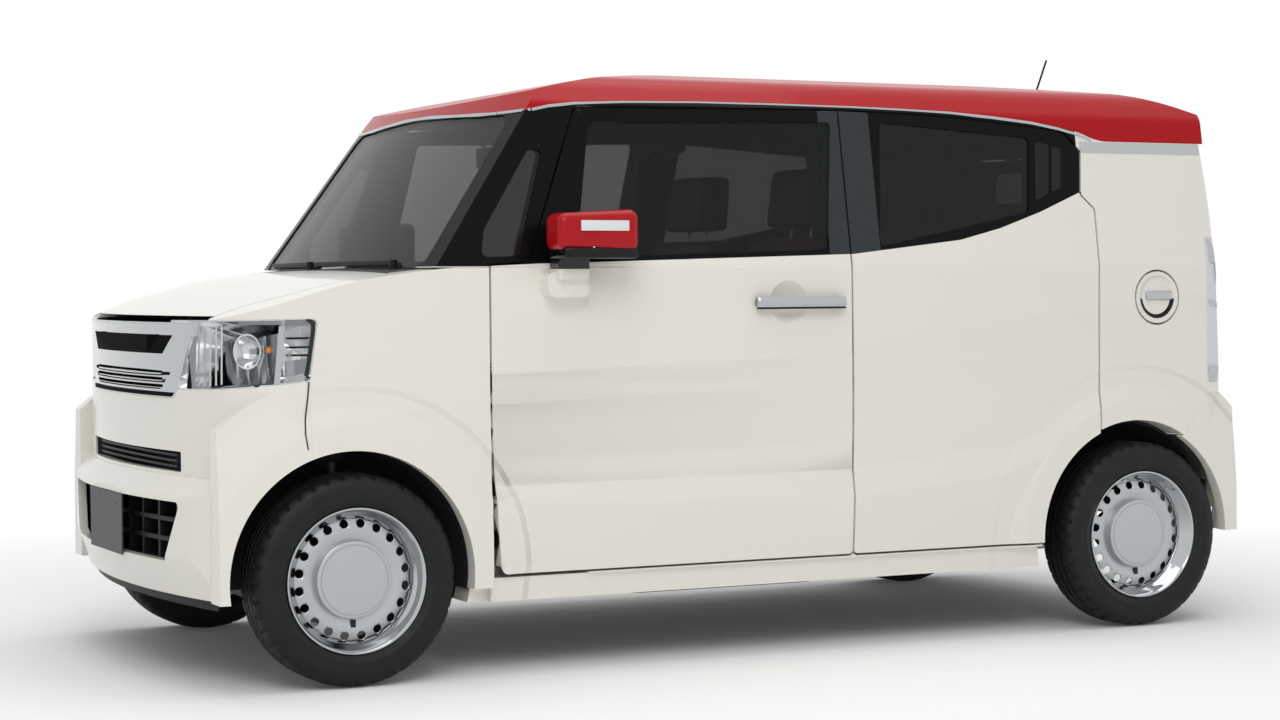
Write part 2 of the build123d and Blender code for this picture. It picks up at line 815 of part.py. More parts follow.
def body_side(with_filler):
    """Left quarter panel, pillars, cant rail and sill, as one pressing."""
    shell = (left_side_shell() - CABIN) & block(BODY_REAR_X, 1100, 300, 900, SILL_BOTTOM, 1700)
    shell = shell - side_prism(ROOF_EDGE, 200, 900)
    shell = shell - block(560, 1200, 200, 900, 0, BELT)
    shell = shell - block(-1500, 560, 200, 900, 0, SILL_TOP)
    for corners in (FRONT_DOOR, REAR_DOOR):
        shell = shell - side_prism(corners, 200, 900, -SEAM / 2)
    shell = shell - side_prism(CORNER_WINDOW, 200, 900)
    shell = shell - front_prism(WINDSCREEN, SCREEN_WALL_X0, SCREEN_WALL_X1)
    shell = shell - front_prism(TAILGATE, -1760, -1400, -SEAM / 2)
    shell = shell - side_prism(TAIL_LAMP, 600, 900, -SEAT)
    shell = shell - side_prism(REAR_BUMPER_SIDE, 200, 900, -SEAT)
    shell = shell - block(-1760, -1400, 200, 900, 0, 400)
    pieces = [shell]
    sill = side_prism([(972, SILL_BOTTOM, 0), (972, SILL_TOP, 0), (-960, SILL_TOP, 0), (-960, SILL_BOTTOM, 0)], 400, 900)
    sill = sill & (section_prism(0) - section_prism(SILL_DEPTH))
    sill = sill - (block(846, 1000, 400, 900, 0, 400) - section_prism(PANEL + SEAT))
    pieces.append(sill)
    step = side_prism([(972, SILL_TOP - 1, 0), (972, 330, 0), (-960, 330, 0), (-960, SILL_TOP - 1, 0)], 400, 900)
    pieces.append(step & (section_prism(DOOR_WALL + POST_GAP) - section_prism(SILL_DEPTH)))
    post = [(B_SEAM_X - POST_HALF, 300, 0), (B_SEAM_X - POST_HALF, 1500, 0)]
    post += [(B_SEAM_X + POST_HALF, 1500, 0), (B_SEAM_X + POST_HALF, 300, 0)]
    low_post = side_prism(post, 400, 900) & block(-2000, 2000, 0, 900, 300, BELT + POST_GAP + 4)
    deep = DOOR_WALL + POST_GAP
    pieces.append(low_post & (section_prism(deep) - section_prism(deep + POST_DEPTH)))
    slim = FRAME_WALL + POST_GAP
    high_post = side_prism(post, 400, 900) & block(-2000, 2000, 0, 900, BELT + POST_GAP, 1500)
    pieces.append(high_post & (section_prism(slim) - section_prism(deep + POST_DEPTH)))
    rail = [(620, 1478, 20), (560, 1512, SMOOTH), (-300, 1520, SMOOTH), (-1150, 1480, 0)]
    rail += [(-1150, 1440, 0), (-300, 1482, SMOOTH), (540, 1474, SMOOTH)]
    pieces.append(side_prism(rail, 400, 900) & (section_prism(slim) - section_prism(slim + POST_DEPTH)))
    hinge_post = [(HINGE_POST_X1, 240, 0), (HINGE_POST_X1, 1060, 0), (853, 1060, 0), (853, 240, 0)]
    pieces.append(side_prism(hinge_post, 400, 900) & (section_prism(PANEL + SEAT) - section_prism(SILL_DEPTH)))
    pillar_foot = [(HINGE_POST_X1, 1050, 0), (HINGE_POST_X1, 1110, 0), (853, 1110, 0), (853, 1050, 0)]
    foot_wall = section_prism(POST_LEDGE + SEAT) - section_prism(SILL_DEPTH)
    pieces.append(side_prism(pillar_foot, 400, 900) & foot_wall)
    made = joined(pieces + hinge_lugs())
    if with_filler:
        made = made - across(FUEL_X, FUEL_Z, FUEL_RADIUS, FUEL_RECESS_Y, 800)
        lug = block(FUEL_X + 46, FUEL_X + 66, FUEL_RECESS_Y - 4, 800, FUEL_Z - 24, FUEL_Z + 24)
        made = made + (lug & section_prism(FUEL_LID_WALL + SEAT))
    return carved(made, arch_tools(LINER + SEAT))


def body_sides():
    return solids_of(body_side(True)) + solids_of(flipped(body_side(False)))


def roof():
    skin = (BODY - CABIN) & side_prism(ROOF_EDGE, -900, 900)
    skin = skin - front_prism(WINDSCREEN, SCREEN_WALL_X0, SCREEN_WALL_X1)
    skin = skin & block(-1760, 900, -900, 900, 1400, 1800)
    gate_top = TAILGATE_Z1 - SEAM / 2
    lugs = [block(-1616, -1590, y, y + 50, gate_top + SEAT, SPOILER_Z + 10) for y in (-440, 390)]
    return joined([skin] + lugs)


def windscreen():
    outer = section_prism(0) - screen_waste(GLASS_INSET)
    inner = section_prism(-20) - screen_waste(GLASS_INSET + GLASS + 1)
    sheet = outer - inner
    return sheet & front_prism(WINDSCREEN, SCREEN_WALL_X0, SCREEN_WALL_X1, SEAT)


def cowl():
    strip = (BODY - body_block(PANEL)) & block(COWL_X0, 1140, -COWL_HALF, COWL_HALF, COWL_Z0, BELT - 0.5)
    strip = strip - plan_prism(bonnet_plan(), 900, 1200, -SEAM / 2)
    brackets = [block(1085, 1130, y, y + 40, 1058, 1076) for y in (-580, 540)]
    brackets = [b - plan_prism(bonnet_plan(), 900, 1200, SEAM / 2 - SEAT) for b in brackets]
    feet = [block(1085, 1106, y, y + 40, 1058, 1085) & body_block(1) for y in (-580, 540)]
    return joined([strip] + brackets + feet)


def bulkhead():
    """The wall between the cabin and the engine, with the shelf under the windscreen."""
    wall = section_prism(SILL_DEPTH + SEAT, HINGE_POST_X1 - 12, HINGE_POST_X1) & block(900, 1100, -900, 900, FLOOR_Z + FLOOR_WALL + SEAT, 1060)
    shelf = block(HINGE_POST_X1 - 12, 1060, -560, 560, 1048, 1060)
    return carved(wall + shelf, arch_tools(LINER + SEAT))


REAR_FLOOR_X = -1010.0
REAR_FLOOR_Z = 400.0
FLOOR_END_X = -1590.0


def floor_pan():
    """The floor: flat in front, stepped up over the rear axle."""
    profile = [
        (HINGE_POST_X1, FLOOR_Z, 0),
        (HINGE_POST_X1, FLOOR_Z + FLOOR_WALL, 0),
        (REAR_FLOOR_X, FLOOR_Z + FLOOR_WALL, 0),
        (REAR_FLOOR_X, REAR_FLOOR_Z + FLOOR_WALL, 0),
        (FLOOR_END_X, REAR_FLOOR_Z + FLOOR_WALL, 0),
        (FLOOR_END_X, REAR_FLOOR_Z, 0),
        (REAR_FLOOR_X - FLOOR_WALL, REAR_FLOOR_Z, 0),
        (REAR_FLOOR_X - FLOOR_WALL, FLOOR_Z, 0),
    ]
    pan = side_prism(profile, -700, 700)
    low = pan & section_prism(SILL_DEPTH + SEAT) & block(-960, 1100, -900, 900, 0, 900)
    high = pan & section_prism(DOOR_WALL + SEAT) & block(-1700, -960, -900, 900, 0, 900)
    ribs = [block(x, x + 60, -500, 500, FLOOR_Z + FLOOR_WALL, FLOOR_Z + FLOOR_WALL + 14) for x in (-420, 260)]
    return carved(joined([low, high] + ribs), arch_tools(LINER + SEAT))


def wheel_housing(x, wall):
    """Left inner wheel well: a drum's upper part with its inboard wall."""
    drum = across(x, ARCH_Z, ARCH_RADIUS + LINER, WELL_INNER_Y - LINER, 800)
    drum = drum - across(x, ARCH_Z, ARCH_RADIUS, WELL_INNER_Y, 900)
    drum = drum & block(x - 400, x + 400, 300, 900, 236, 900)
    return drum & section_prism(wall + SEAT)


def rear_housing():
    """Left rear well, notched where the axle beam comes through."""
    notch = block(REAR_AXLE_X - 90, REAR_AXLE_X + 90, 380, 420, 200, 350)
    return wheel_housing(ARCHES[1][0], DOOR_WALL) - notch


KINGPIN_LOW = (FRONT_AXLE_X, 600.0, 165.0)
KINGPIN_TOP = (FRONT_AXLE_X, 517.0, 600.0)
STRUT_RADIUS = 24.0
STUD_RADIUS = 12.0
SPRING_SEAT_RADIUS = 29.0  # clear of the tyre's inner wall
TOP_MOUNT_RADIUS = 46.0


def on_kingpin(z):
    share = (z - KINGPIN_LOW[2]) / (KINGPIN_TOP[2] - KINGPIN_LOW[2])
    return tuple(a + (b - a) * share for a, b in zip(KINGPIN_LOW, KINGPIN_TOP))


def front_housing():
    """Left front well, with the strut's top mount hanging from its roof."""
    wall = wheel_housing(ARCHES[0][0], PANEL) & body_block(BUMPER_WALL + SEAT)
    wall = wall - side_prism([(853, 200, 0), (853, 1000, 0), (900, 1000, 0), (900, 200, 0)], 640, 900)
    mount = rod(on_kingpin(575), on_kingpin(640), TOP_MOUNT_RADIUS)
    mount = mount & across(ARCHES[0][0], ARCH_Z, ARCH_RADIUS + LINER / 2, 400, 900)
    bore = rod(on_kingpin(540), on_kingpin(604), STUD_RADIUS + RUNNING_GAP)
    return (wall + mount) - bore


SPINDLE_END = WHEEL_Y + 44.0


def knuckle():
    """Left front upright with its spindle, ball stud and strut, turning about the kingpin."""
    upright = block(FRONT_AXLE_X - 35, FRONT_AXLE_X + 35, 570, 606, 186, 350)
    spindle = across(FRONT_AXLE_X, AXLE_Z, SPINDLE_RADIUS, 600, SPINDLE_END)
    strut = rod(on_kingpin(300), on_kingpin(520), STRUT_RADIUS)
    spring_seat = rod(on_kingpin(470), on_kingpin(478), SPRING_SEAT_RADIUS)
    rod_top = rod(on_kingpin(515), on_kingpin(600), STUD_RADIUS)
    stud = rod(on_kingpin(146), on_kingpin(200), STUD_RADIUS)
    steering_arm = block(FRONT_AXLE_X - 130, FRONT_AXLE_X - 20, 576, 596, 214, 232)
    return joined([upright, spindle, strut, spring_seat, rod_top, stud, steering_arm])


def front_subframe():
    """Cross member with the two lower arms and their ball sockets."""
    beam = block(FRONT_AXLE_X - 90, FRONT_AXLE_X + 90, -330, 330, 168, 200)
    pieces = [beam]
    for side in (1, -1):
        x, y, z = on_kingpin(160)
        arm = plan_prism(
            [(x - 90, 300, 0), (x - 24, 590, 10), (x + 24, 590, 10), (x + 90, 300, 0)], 148, 172
        )
        socket = rod(on_kingpin(146), on_kingpin(176), 26)
        bore = rod(on_kingpin(120), on_kingpin(230), STUD_RADIUS + RUNNING_GAP)
        left = (arm + socket) - bore
        pieces.append(left if side == 1 else flipped(left))
    horns = [block(FRONT_AXLE_X - 90, FRONT_AXLE_X - 50, y, y + 40, 200, 300) for y in (-330, 290)]
    legs = [block(HINGE_POST_X1 - 12, FRONT_AXLE_X - 60, y, y + 50, 172, 199.7) for y in (-320, 270)]
    return joined(pieces + horns + legs)


def engine_block():
    return block(1090, 1470, -300, 260, 300.3, 830) - block(1090, 1180, -300, 260, 640, 830)


BEAM_RADIUS = 34.0


def rear_axle():
    """Beam axle with trailing arms, springs and a spindle at each end."""
    beam = across(REAR_AXLE_X, AXLE_Z, BEAM_RADIUS, -560, 560)
    pieces = [beam]
    for half in (1, -1):
        flange = across(REAR_AXLE_X, AXLE_Z, 62, 552, 596)
        spindle = across(REAR_AXLE_X, AXLE_Z, SPINDLE_RADIUS, 590, SPINDLE_END)
        spring = rod((REAR_AXLE_X, 300, AXLE_Z + 20), (REAR_AXLE_X, 300, REAR_FLOOR_Z - SEAT), 46)
        arm = rod((REAR_AXLE_X, 350, AXLE_Z - 4), (REAR_FLOOR_X - 62, 350, 262), 22)
        bush = across(REAR_FLOOR_X - FLOOR_WALL - 28, 262, 28 - SEAT, 322, 378)
        left = joined([flange, spindle, spring, arm, bush])
        pieces.append(left if half == 1 else flipped(left))
    made = joined(pieces)
    return made - block(REAR_FLOOR_X - FLOOR_WALL - SEAT, REAR_FLOOR_X + 100, -900, 900, 100, 600)


def fuel_tank():
    return plan_prism([(260, -190, 40), (260, 350, 40), (-360, 350, 40), (-360, -190, 40)], 150, FLOOR_Z - SEAT)


PIPE_RADIUS = 20.0
PIPE_Y = -235.0
PIPE_Z = 176.0
PIPE_FRONT_X = 1108.0
SILENCER_Z0 = 152.0


def exhaust():
    """Pipe along the underside to a silencer behind the rear axle."""
    pipe = rod((PIPE_FRONT_X, PIPE_Y, PIPE_Z), (-1420, PIPE_Y, PIPE_Z), PIPE_RADIUS)
    down = rod((PIPE_FRONT_X, PIPE_Y, PIPE_Z - PIPE_RADIUS), (PIPE_FRONT_X, PIPE_Y, 300), PIPE_RADIUS - 1)
    z1 = SILENCER_Z0 + 130
    box = [(-1400, SILENCER_Z0, 20), (-1400, z1, 40), (-1600, z1, 40), (-1600, SILENCER_Z0, 20)]
    silencer = side_prism(box, -370, -80)
    tail = rod((-1590, -320, 200), (-1688, -320, 200), 18)
    hanger = block(-1520, -1500, -240, -220, z1 - 4, REAR_FLOOR_Z - SEAT)
    return joined([pipe, down, silencer, tail, hanger])


SHOULDER = 14.0  # the tread's worn edge, across and down


def tyre(x):
    """Left tyre: flat tread, sloping shoulders and flat walls, seated on the rim."""
    half = TYRE_WIDTH / 2
    place = lambda u, v: Vector(x + u, WHEEL_Y + v, AXLE_Z)
    bead = RIM_LIP_RADIUS + SEAT
    corners = [
        (bead, half, 0),
        (TYRE_RADIUS - SHOULDER, half, 0),
        (TYRE_RADIUS, half - SHOULDER, 0),
        (TYRE_RADIUS, SHOULDER - half, 0),
        (TYRE_RADIUS - SHOULDER, -half, 0),
        (bead, -half, 0),
    ]
    return Solid.revolve(outline(corners, place), 360, Axis((x, 0, AXLE_Z), (0, 1, 0)))


RIM_WALL = 21.0
RIM_HALF = 66.0
DISC_WALL = 14.0
CAP_HEIGHT = 14.0


def wheel(x):
    """Left steel wheel: a rim with a dished disc and a flat cap over the hub."""
    place = lambda u, v: Vector(x + u, WHEEL_Y + v, AXLE_Z)
    inner = RIM_LIP_RADIUS - RIM_WALL
    bore = SPINDLE_RADIUS + RUNNING_GAP
    rim = [
        (RIM_LIP_RADIUS, -RIM_HALF, 0),
        (inner, -RIM_HALF, 0),
        (inner, DISC_FACE - DISC_WALL, 0),
        (bore, DISC_FACE - DISC_WALL, 0),
        (bore, DISC_FACE + CAP_HEIGHT, 0),
        (CAP_RADIUS, DISC_FACE + CAP_HEIGHT, 0),
        (CAP_RADIUS, DISC_FACE, 0),
        (inner, DISC_FACE, 0),
        (inner + 6, RIM_HALF, 0),
        (RIM_LIP_RADIUS, RIM_HALF, 0),
    ]
    return Solid.revolve(outline(rim, place), 360, Axis((x, 0, AXLE_Z), (0, 1, 0)))


SEAT_HALF = 235.0
SEAT_Y = 345.0
CUSHION = [
    (-150, 470, 40),
    (-150, 560, 20),
    (330, 585, 40),
    (345, 500, 30),
    (300, 440, 20),
    (-100, 430, 20),
]
BACKREST = [
    (-120, 480, 30),
    (-40, 590, 30),
    (-265, 1180, 50),
    (-375, 1180, 50),
    (-240, 500, 60),
]
HEADREST = [
    (-265, 1208, 30),
    (-295, 1385, 40),
    (-385, 1385, 40),
    (-375, 1208, 30),
]


def front_seat():
    """Left front seat on its plinth, with a headrest on two stems."""
    y0, y1 = SEAT_Y - SEAT_HALF, SEAT_Y + SEAT_HALF - 20
    cushion = side_prism(CUSHION, y0, y1)
    back = side_prism(BACKREST, y0, y1)
    head = side_prism(HEADREST, SEAT_Y - 130, SEAT_Y + 130)
    stems = [rod((-325, SEAT_Y + d, 1170), (-331, SEAT_Y + d, 1215), 7) for d in (-60, 60)]
    plinth = block(-90, 250, y0 + 40, y1 - 40, FLOOR_Z + FLOOR_WALL + SEAT, 440)
    return joined([cushion, back, head, plinth] + stems)


REAR_CUSHION = [
    (-1020, 470, 20),
    (-1020, 570, 20),
    (-540, 590, 30),
    (-530, 490, 26),
    (-580, 450, 20),
    (-1000, 440, 20),
]
REAR_BACK = [
    (-990, 520, 20),
    (-930, 600, 24),
    (-1030, 1120, 36),
    (-1120, 1120, 36),
    (-1080, 500, 20),
]


def rear_seat():
    """A bench across the cabin, in two halves that touch nowhere else."""
    cushion = side_prism(REAR_CUSHION, -560, 560)
    back = side_prism(REAR_BACK, -560, 560)
    heads = [side_prism([(-1050, 1135, 24), (-1064, 1290, 30), (-1130, 1290, 30), (-1130, 1135, 24)], y - 120, y + 120) for y in (-290, 290)]
    stems = [rod((-1085, y + d, 1110), (-1087, y + d, 1142), 7) for y in (-290, 290) for d in (-50, 50)]
    base = block(-970, -640, -380, 380, FLOOR_Z + FLOOR_WALL + SEAT, 446)
    made = joined([cushion, back, base] + heads + stems)
    return carved(made, arch_tools(LINER + 2))


DASH = [
    (940, 600, 40),
    (HINGE_POST_X1 - 12 - SEAT, 1040, 0),
    (700, 1062, 60),
    (575, 985, 60),
    (590, 800, 40),
    (700, 640, 60),
]


def dashboard():
    core = side_prism(DASH, -700, 700) & section_prism(SILL_DEPTH + 12)
    bore = rod(column_at(-60), column_at(262), COLUMN_RADIUS + RUNNING_GAP)
    return core - bore


STEERING_Y = -350.0
STEERING_CENTRE = (452.0, STEERING_Y, 938.0)
STEERING_TILT = 24.0
STEERING_RADIUS = 182.0
RING_HALF = 14.0
COLUMN_RADIUS = 18.0


def column_at(distance):
    """A point on the steering column's line, forward of the wheel's centre."""
    x, y, z = STEERING_CENTRE
    return (x + distance * cos(radians(STEERING_TILT)), y, z - distance * sin(radians(STEERING_TILT)))


def steering_wheel():
    plane = Plane(STEERING_CENTRE, x_dir=(0, 1, 0), z_dir=Vector(*column_at(-1)) - Vector(*STEERING_CENTRE))
    section = [
        (STEERING_RADIUS + RING_HALF, 0.4 * RING_HALF, 0),
        (STEERING_RADIUS, RING_HALF, 0),
        (STEERING_RADIUS - RING_HALF, 0.4 * RING_HALF, 0),
        (STEERING_RADIUS - RING_HALF, -0.4 * RING_HALF, 0),
        (STEERING_RADIUS, -RING_HALF, 0),
        (STEERING_RADIUS + RING_HALF, -0.4 * RING_HALF, 0),
    ]
    place = lambda u, v: plane.from_local_coords(Vector(u, 0, v))
    ring = Solid.revolve(outline(section, place), 360, Axis(plane.origin, plane.z_dir))
    boss = rod(column_at(-12), column_at(40), 58)
    spokes = []
    for angle in (0, 180, 270):
        end = plane.from_local_coords(((STEERING_RADIUS - 4) * cos(radians(angle)), (STEERING_RADIUS - 4) * sin(radians(angle)), -4))
        spokes.append(rod(column_at(8), tuple(end), 11))
    shaft = rod(column_at(10), column_at(250), COLUMN_RADIUS)
    return joined([ring, boss, shaft] + spokes)


HANDLE_X = (-232.0, 46.0)
HANDLE_Z = 990.0
HANDLE_Y = 727.6
HANDLE_ROOT_Y = 700.0


def handle():
    """Left door handle: a bowed bar on two feet."""
    x0, x1 = HANDLE_X
    y = HANDLE_Y
    bar = [(x0, y + 12, 4), (x0 + 24, y + 34, 8), (x1 - 24, y + 34, 8), (x1, y + 12, 4), (x1 - 46, y + 20, 0), (x0 + 46, y + 20, 0)]
    grip = plan_prism(bar, HANDLE_Z - 13, HANDLE_Z + 13)
    feet = [block(x, x + 46, HANDLE_ROOT_Y, y + 24, HANDLE_Z - 15, HANDLE_Z + 15) for x in (x0, x1 - 46)]
    return joined([grip] + feet) - section_prism(-SEAT)


MIRROR = [
    (878, 1120, 30),
    (868, 1240, 34),
    (752, 1246, 30),
    (748, 1112, 26),
]


MIRROR_WALL = 12.0
MIRROR_FLOOR = 1106.0  # the housing's lowest plane


def mirror_housing():
    """Left mirror housing: a shell that bulges forward, open towards the driver."""
    side = [(470, MIRROR_FLOOR, 30), (470, 1250, 30), (690, 1246, 50), (745, 1190, 60), (735, MIRROR_FLOOR, 30)]
    form = side_prism(side, 745, 885) & front_prism(MIRROR, 400, 800)
    plan = [(470, 740, 0), (470, 890, 0), (650, 890, 60), (752, 800, 60), (752, 740, 0)]
    form = form & plan_prism(plan, 1000, 1300)
    hollow = front_prism(MIRROR, 400, 640, MIRROR_WALL)
    return form - (hollow & block(460, 630, 700, 900, 1000, 1300))


def mirror_foot():
    """The pod on the door and the stalk up to the housing."""
    pod = side_prism([(575, 1012, 20), (590, 1078, 12), (708, 1078, 20), (700, 1010, 24)], 700, 775)
    stalk = plan_prism([(590, 730, 8), (590, 800, 8), (680, 800, 8), (680, 730, 8)], 1060, 1140)
    stalk = stalk - front_prism(MIRROR, 400, 800, -SEAT)
    stalk = stalk & block(500, 800, 700, 900, 1000, MIRROR_FLOOR + 16)
    return (pod + stalk) - section_prism(-SEAT)


def mirror_glass():
    return front_prism(MIRROR, 606, 611, MIRROR_WALL + SEAT)


def antenna():
    foot = side_prism([(-1432, 1600, 0), (-1422, 1646, 8), (-1376, 1656, 8), (-1352, 1600, 0)], -16, 16)
    mast = rod((-1400, 0, 1640), (-1452, 0, 1772), 3.2)
    return (foot - (section_prism(0) - roof_waste(0))) + (mast - (section_prism(0) - roof_waste(0)))


def front_plate():
    plate = block(NOSE_X - 4, NOSE_X, -PLATE_HALF, PLATE_HALF, PLATE_Z0, PLATE_Z0 + PLATE_HEIGHT)
    holes = [rod((NOSE_X - 30, y, PLATE_HOLE_Z), (NOSE_X + 30, y, PLATE_HOLE_Z), PLATE_HOLE_R) for y in (-PLATE_HOLE_Y, PLATE_HOLE_Y)]
    return carved(plate, holes)


PLATE_HALF = 165.0
PLATE_HEIGHT = 165.0
PLATE_Z0 = 320.0
PLATE_HOLE_Y = 105.0
PLATE_HOLE_Z = PLATE_Z0 + PLATE_HEIGHT - 30
PLATE_HOLE_R = 3.5


def fuel_lid():
    """Round lid with a dished face, hinged at its front edge."""
    disc = across(FUEL_X, FUEL_Z, FUEL_RADIUS - SEAM, 640, 800)
    lid = disc & (section_prism(0) - section_prism(FUEL_LID_WALL))
    dish = Solid.make_cone(62, 70, 14, Plane((FUEL_X, 718, FUEL_Z), z_dir=(0, 1, 0)))
    return lid - dish


WIPER_Z0 = 1102.0
WIPER_Z1 = 1112.0
WIPER_WIDTH = 8.0
WIPER_SPANS = [(-40.0, 500.0), (-560.0, -80.0)]  # y of each blade's ends; its pivot is at the left end
WIPER_PIVOT_RADIUS = 11.0


def wipers():
    """Two blades at rest along the foot of the windscreen, each on its pivot."""
    slope = (SCREEN_BASE_X - SCREEN_TOP_X) / (SCREEN_TOP_Z - BELT)
    x0 = SCREEN_BASE_X - (WIPER_Z0 - BELT) * slope - GLASS_INSET * hypot(1, slope) + SEAT
    x1 = x0 + WIPER_WIDTH
    corners = [(x0, WIPER_Z0, 0), (x1, WIPER_Z0, 0), (x1, WIPER_Z1, 0), (x0, WIPER_Z1, 0)]
    strip = bowed(corners, SCREEN_BASE_X - SCREEN_BOW, 12)
    made = []
    for y0, y1 in WIPER_SPANS:
        blade = strip & block(900, 1200, y0, y1, 1000, 1200)
        x = SCREEN_BASE_X - SCREEN_BOW + sqrt((x1 + SCREEN_BOW - SCREEN_BASE_X) ** 2 - y1 ** 2)
        pivot = rod((x, y1, BELT - 0.2), (x, y1, WIPER_Z1 + 2), WIPER_PIVOT_RADIUS)
        made.append((blade + pivot) & screen_waste(GLASS_INSET - SEAT))
    return made


def with_mirror(shape):
    return solids_of(shape) + solids_of(flipped(shape))


BUILD = {
    "floor_pan": floor_pan,
    "body_sides": body_sides,
    "roof": roof,
    "front_bumper": front_bumper,
    "bumper_lip": bumper_lip,
    "intake_mesh": intake_mesh,
    "grille": grille,
    "headlamps": lambda: with_mirror(headlamp()),
    "front_fenders": lambda: with_mirror(fender()),
    "wheel_housings": lambda: with_mirror(front_housing()) + with_mirror(rear_housing()),
    "bulkhead": bulkhead,
    "cowl": cowl,
    "rear_bumper": rear_bumper,
    "tail_lamps": lambda: with_mirror(tail_lamp()),
    "windscreen": windscreen,
    "corner_glass": lambda: with_mirror(window_pane(CORNER_WINDOW)),
    "dashboard": dashboard,
    "front_seats": lambda: with_mirror(front_seat()),
    "rear_seat": rear_seat,
    "engine_block": engine_block,
    "front_subframe": front_subframe,
    "rear_axle": rear_axle,
    "fuel_tank": fuel_tank,
    "exhaust": exhaust,
    "antenna": antenna,
    "wipers": wipers,
    "front_plate": front_plate,
    "steering_wheel": steering_wheel,
    "bonnet": bonnet,
    "tailgate": tailgate,
    "tailgate_glass": tailgate_glass,
    "fuel_lid": fuel_lid,
}

LEFT_PIECES = {
    "knuckle": knuckle,
    "tyre_front": lambda: tyre(FRONT_AXLE_X),
    "wheel_front": lambda: wheel(FRONT_AXLE_X),
    "tyre_rear": lambda: tyre(REAR_AXLE_X),
    "wheel_rear": lambda: wheel(REAR_AXLE_X),
    "door_front": lambda: door(FRONT_DOOR, FRONT_WINDOW),
    "glass_front": lambda: window_pane(FRONT_WINDOW),
    "handle": handle,
    "mirror": mirror_housing,
    "mirror_foot": mirror_foot,
    "mirror_glass": mirror_glass,
    "door_rear": lambda: door(REAR_DOOR, REAR_WINDOW),
    "glass_rear": lambda: window_pane(REAR_WINDOW),
}


def write(name, shape):
    solids = [Solid(s.wrapped) for s in solids_of(shape)]
    export_step(Compound(children=solids), f"parts/{name}.step")
    bad = [s for s in solids if not s.is_valid or s.volume <= 0]
    print(name, len(solids), "solids", "BAD" if bad else "")


if __name__ == "__main__":
    os.makedirs("parts", exist_ok=True)
    for name, make in BUILD.items():
        write(name, make())
    for name, make in LEFT_PIECES.items():
        shape = make()
        write(name + "_left", shape)
        write(name + "_right", flipped(shape))
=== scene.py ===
import math

import bpy
from mathutils import Matrix, Vector


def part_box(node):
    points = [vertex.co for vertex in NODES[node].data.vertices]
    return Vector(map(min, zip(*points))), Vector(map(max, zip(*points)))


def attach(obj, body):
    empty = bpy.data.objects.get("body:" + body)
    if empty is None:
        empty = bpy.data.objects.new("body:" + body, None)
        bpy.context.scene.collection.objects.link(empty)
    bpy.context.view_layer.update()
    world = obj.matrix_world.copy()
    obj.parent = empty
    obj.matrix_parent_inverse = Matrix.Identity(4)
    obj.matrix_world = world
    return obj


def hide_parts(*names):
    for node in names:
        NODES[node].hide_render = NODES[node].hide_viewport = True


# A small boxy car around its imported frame. Sizes are millimetres unless a name says otherwise.
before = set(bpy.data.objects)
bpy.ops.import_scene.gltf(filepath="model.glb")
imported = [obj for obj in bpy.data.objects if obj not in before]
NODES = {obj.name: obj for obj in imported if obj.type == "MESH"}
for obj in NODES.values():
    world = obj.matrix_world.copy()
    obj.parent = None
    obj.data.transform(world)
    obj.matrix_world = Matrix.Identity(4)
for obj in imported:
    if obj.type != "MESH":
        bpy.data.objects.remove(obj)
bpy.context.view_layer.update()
MM = 0.001
MIRROR = Matrix.Scale(-1, 4, (0, 1, 0))

# Sizes that the frame gives
TYRE_LOW, TYRE_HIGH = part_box("tyre_front_left")
REAR_TYRE_LOW, REAR_TYRE_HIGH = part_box("tyre_rear_left")
FRONT_AXLE_X = (TYRE_LOW[0] + TYRE_HIGH[0]) / 2 / MM
REAR_AXLE_X = (REAR_TYRE_LOW[0] + REAR_TYRE_HIGH[0]) / 2 / MM
WHEEL_Y = (TYRE_LOW[1] + TYRE_HIGH[1]) / 2 / MM
TYRE_RADIUS = (TYRE_HIGH[2] - TYRE_LOW[2]) / 2 / MM

# The photograph's camera: place in metres, angles in degrees
CAMERA_PLACE = Vector((3.5277, 7.0104, 1.0496))
CAMERA_YAW = 26.403
CAMERA_PITCH = -1.729
CAMERA_ROLL = -0.318
FOCAL_PIXELS = 2572.66
IMAGE_WIDTH = 1280
IMAGE_HEIGHT = 720
SENSOR_WIDTH = 36.0
CAMERA_REACH_M = 200.0

# What counts as an upright face, a face to the left and the near side of the car
UPRIGHT_TILT = 0.3
LEFT_TILT = 0.1
STEEP_TILT = 0.7
FAR_SIDE_Y_M = -0.6
NEAR_STEPS = 40
OUTSIDE_M = 2.0


def camera_axes():
    """The camera's right, up and forward directions."""
    yaw, pitch, roll = (math.radians(a) for a in (CAMERA_YAW, CAMERA_PITCH, CAMERA_ROLL))
    flat = math.cos(pitch)
    forward = Vector((-math.sin(yaw) * flat, -math.cos(yaw) * flat, math.sin(pitch)))
    right = forward.cross(Vector((0, 0, 1))).normalized()
    up = right.cross(forward)
    tilted_right = right * math.cos(roll) + up * math.sin(roll)
    tilted_up = up * math.cos(roll) - right * math.sin(roll)
    return tilted_right, tilted_up, forward


def add_camera():
    """The camera that took the photograph."""
    right, up, forward = camera_axes()
    data = bpy.data.cameras.new("photo_camera")
    data.sensor_width = SENSOR_WIDTH
    data.lens = FOCAL_PIXELS / IMAGE_WIDTH * SENSOR_WIDTH
    data.clip_end = CAMERA_REACH_M
    camera = bpy.data.objects.new("photo_camera", data)
    turn = Matrix((right, up, -forward)).transposed().to_4x4()
    camera.matrix_world = Matrix.Translation(CAMERA_PLACE) @ turn
    bpy.context.scene.collection.objects.link(camera)
    bpy.context.scene.camera = camera


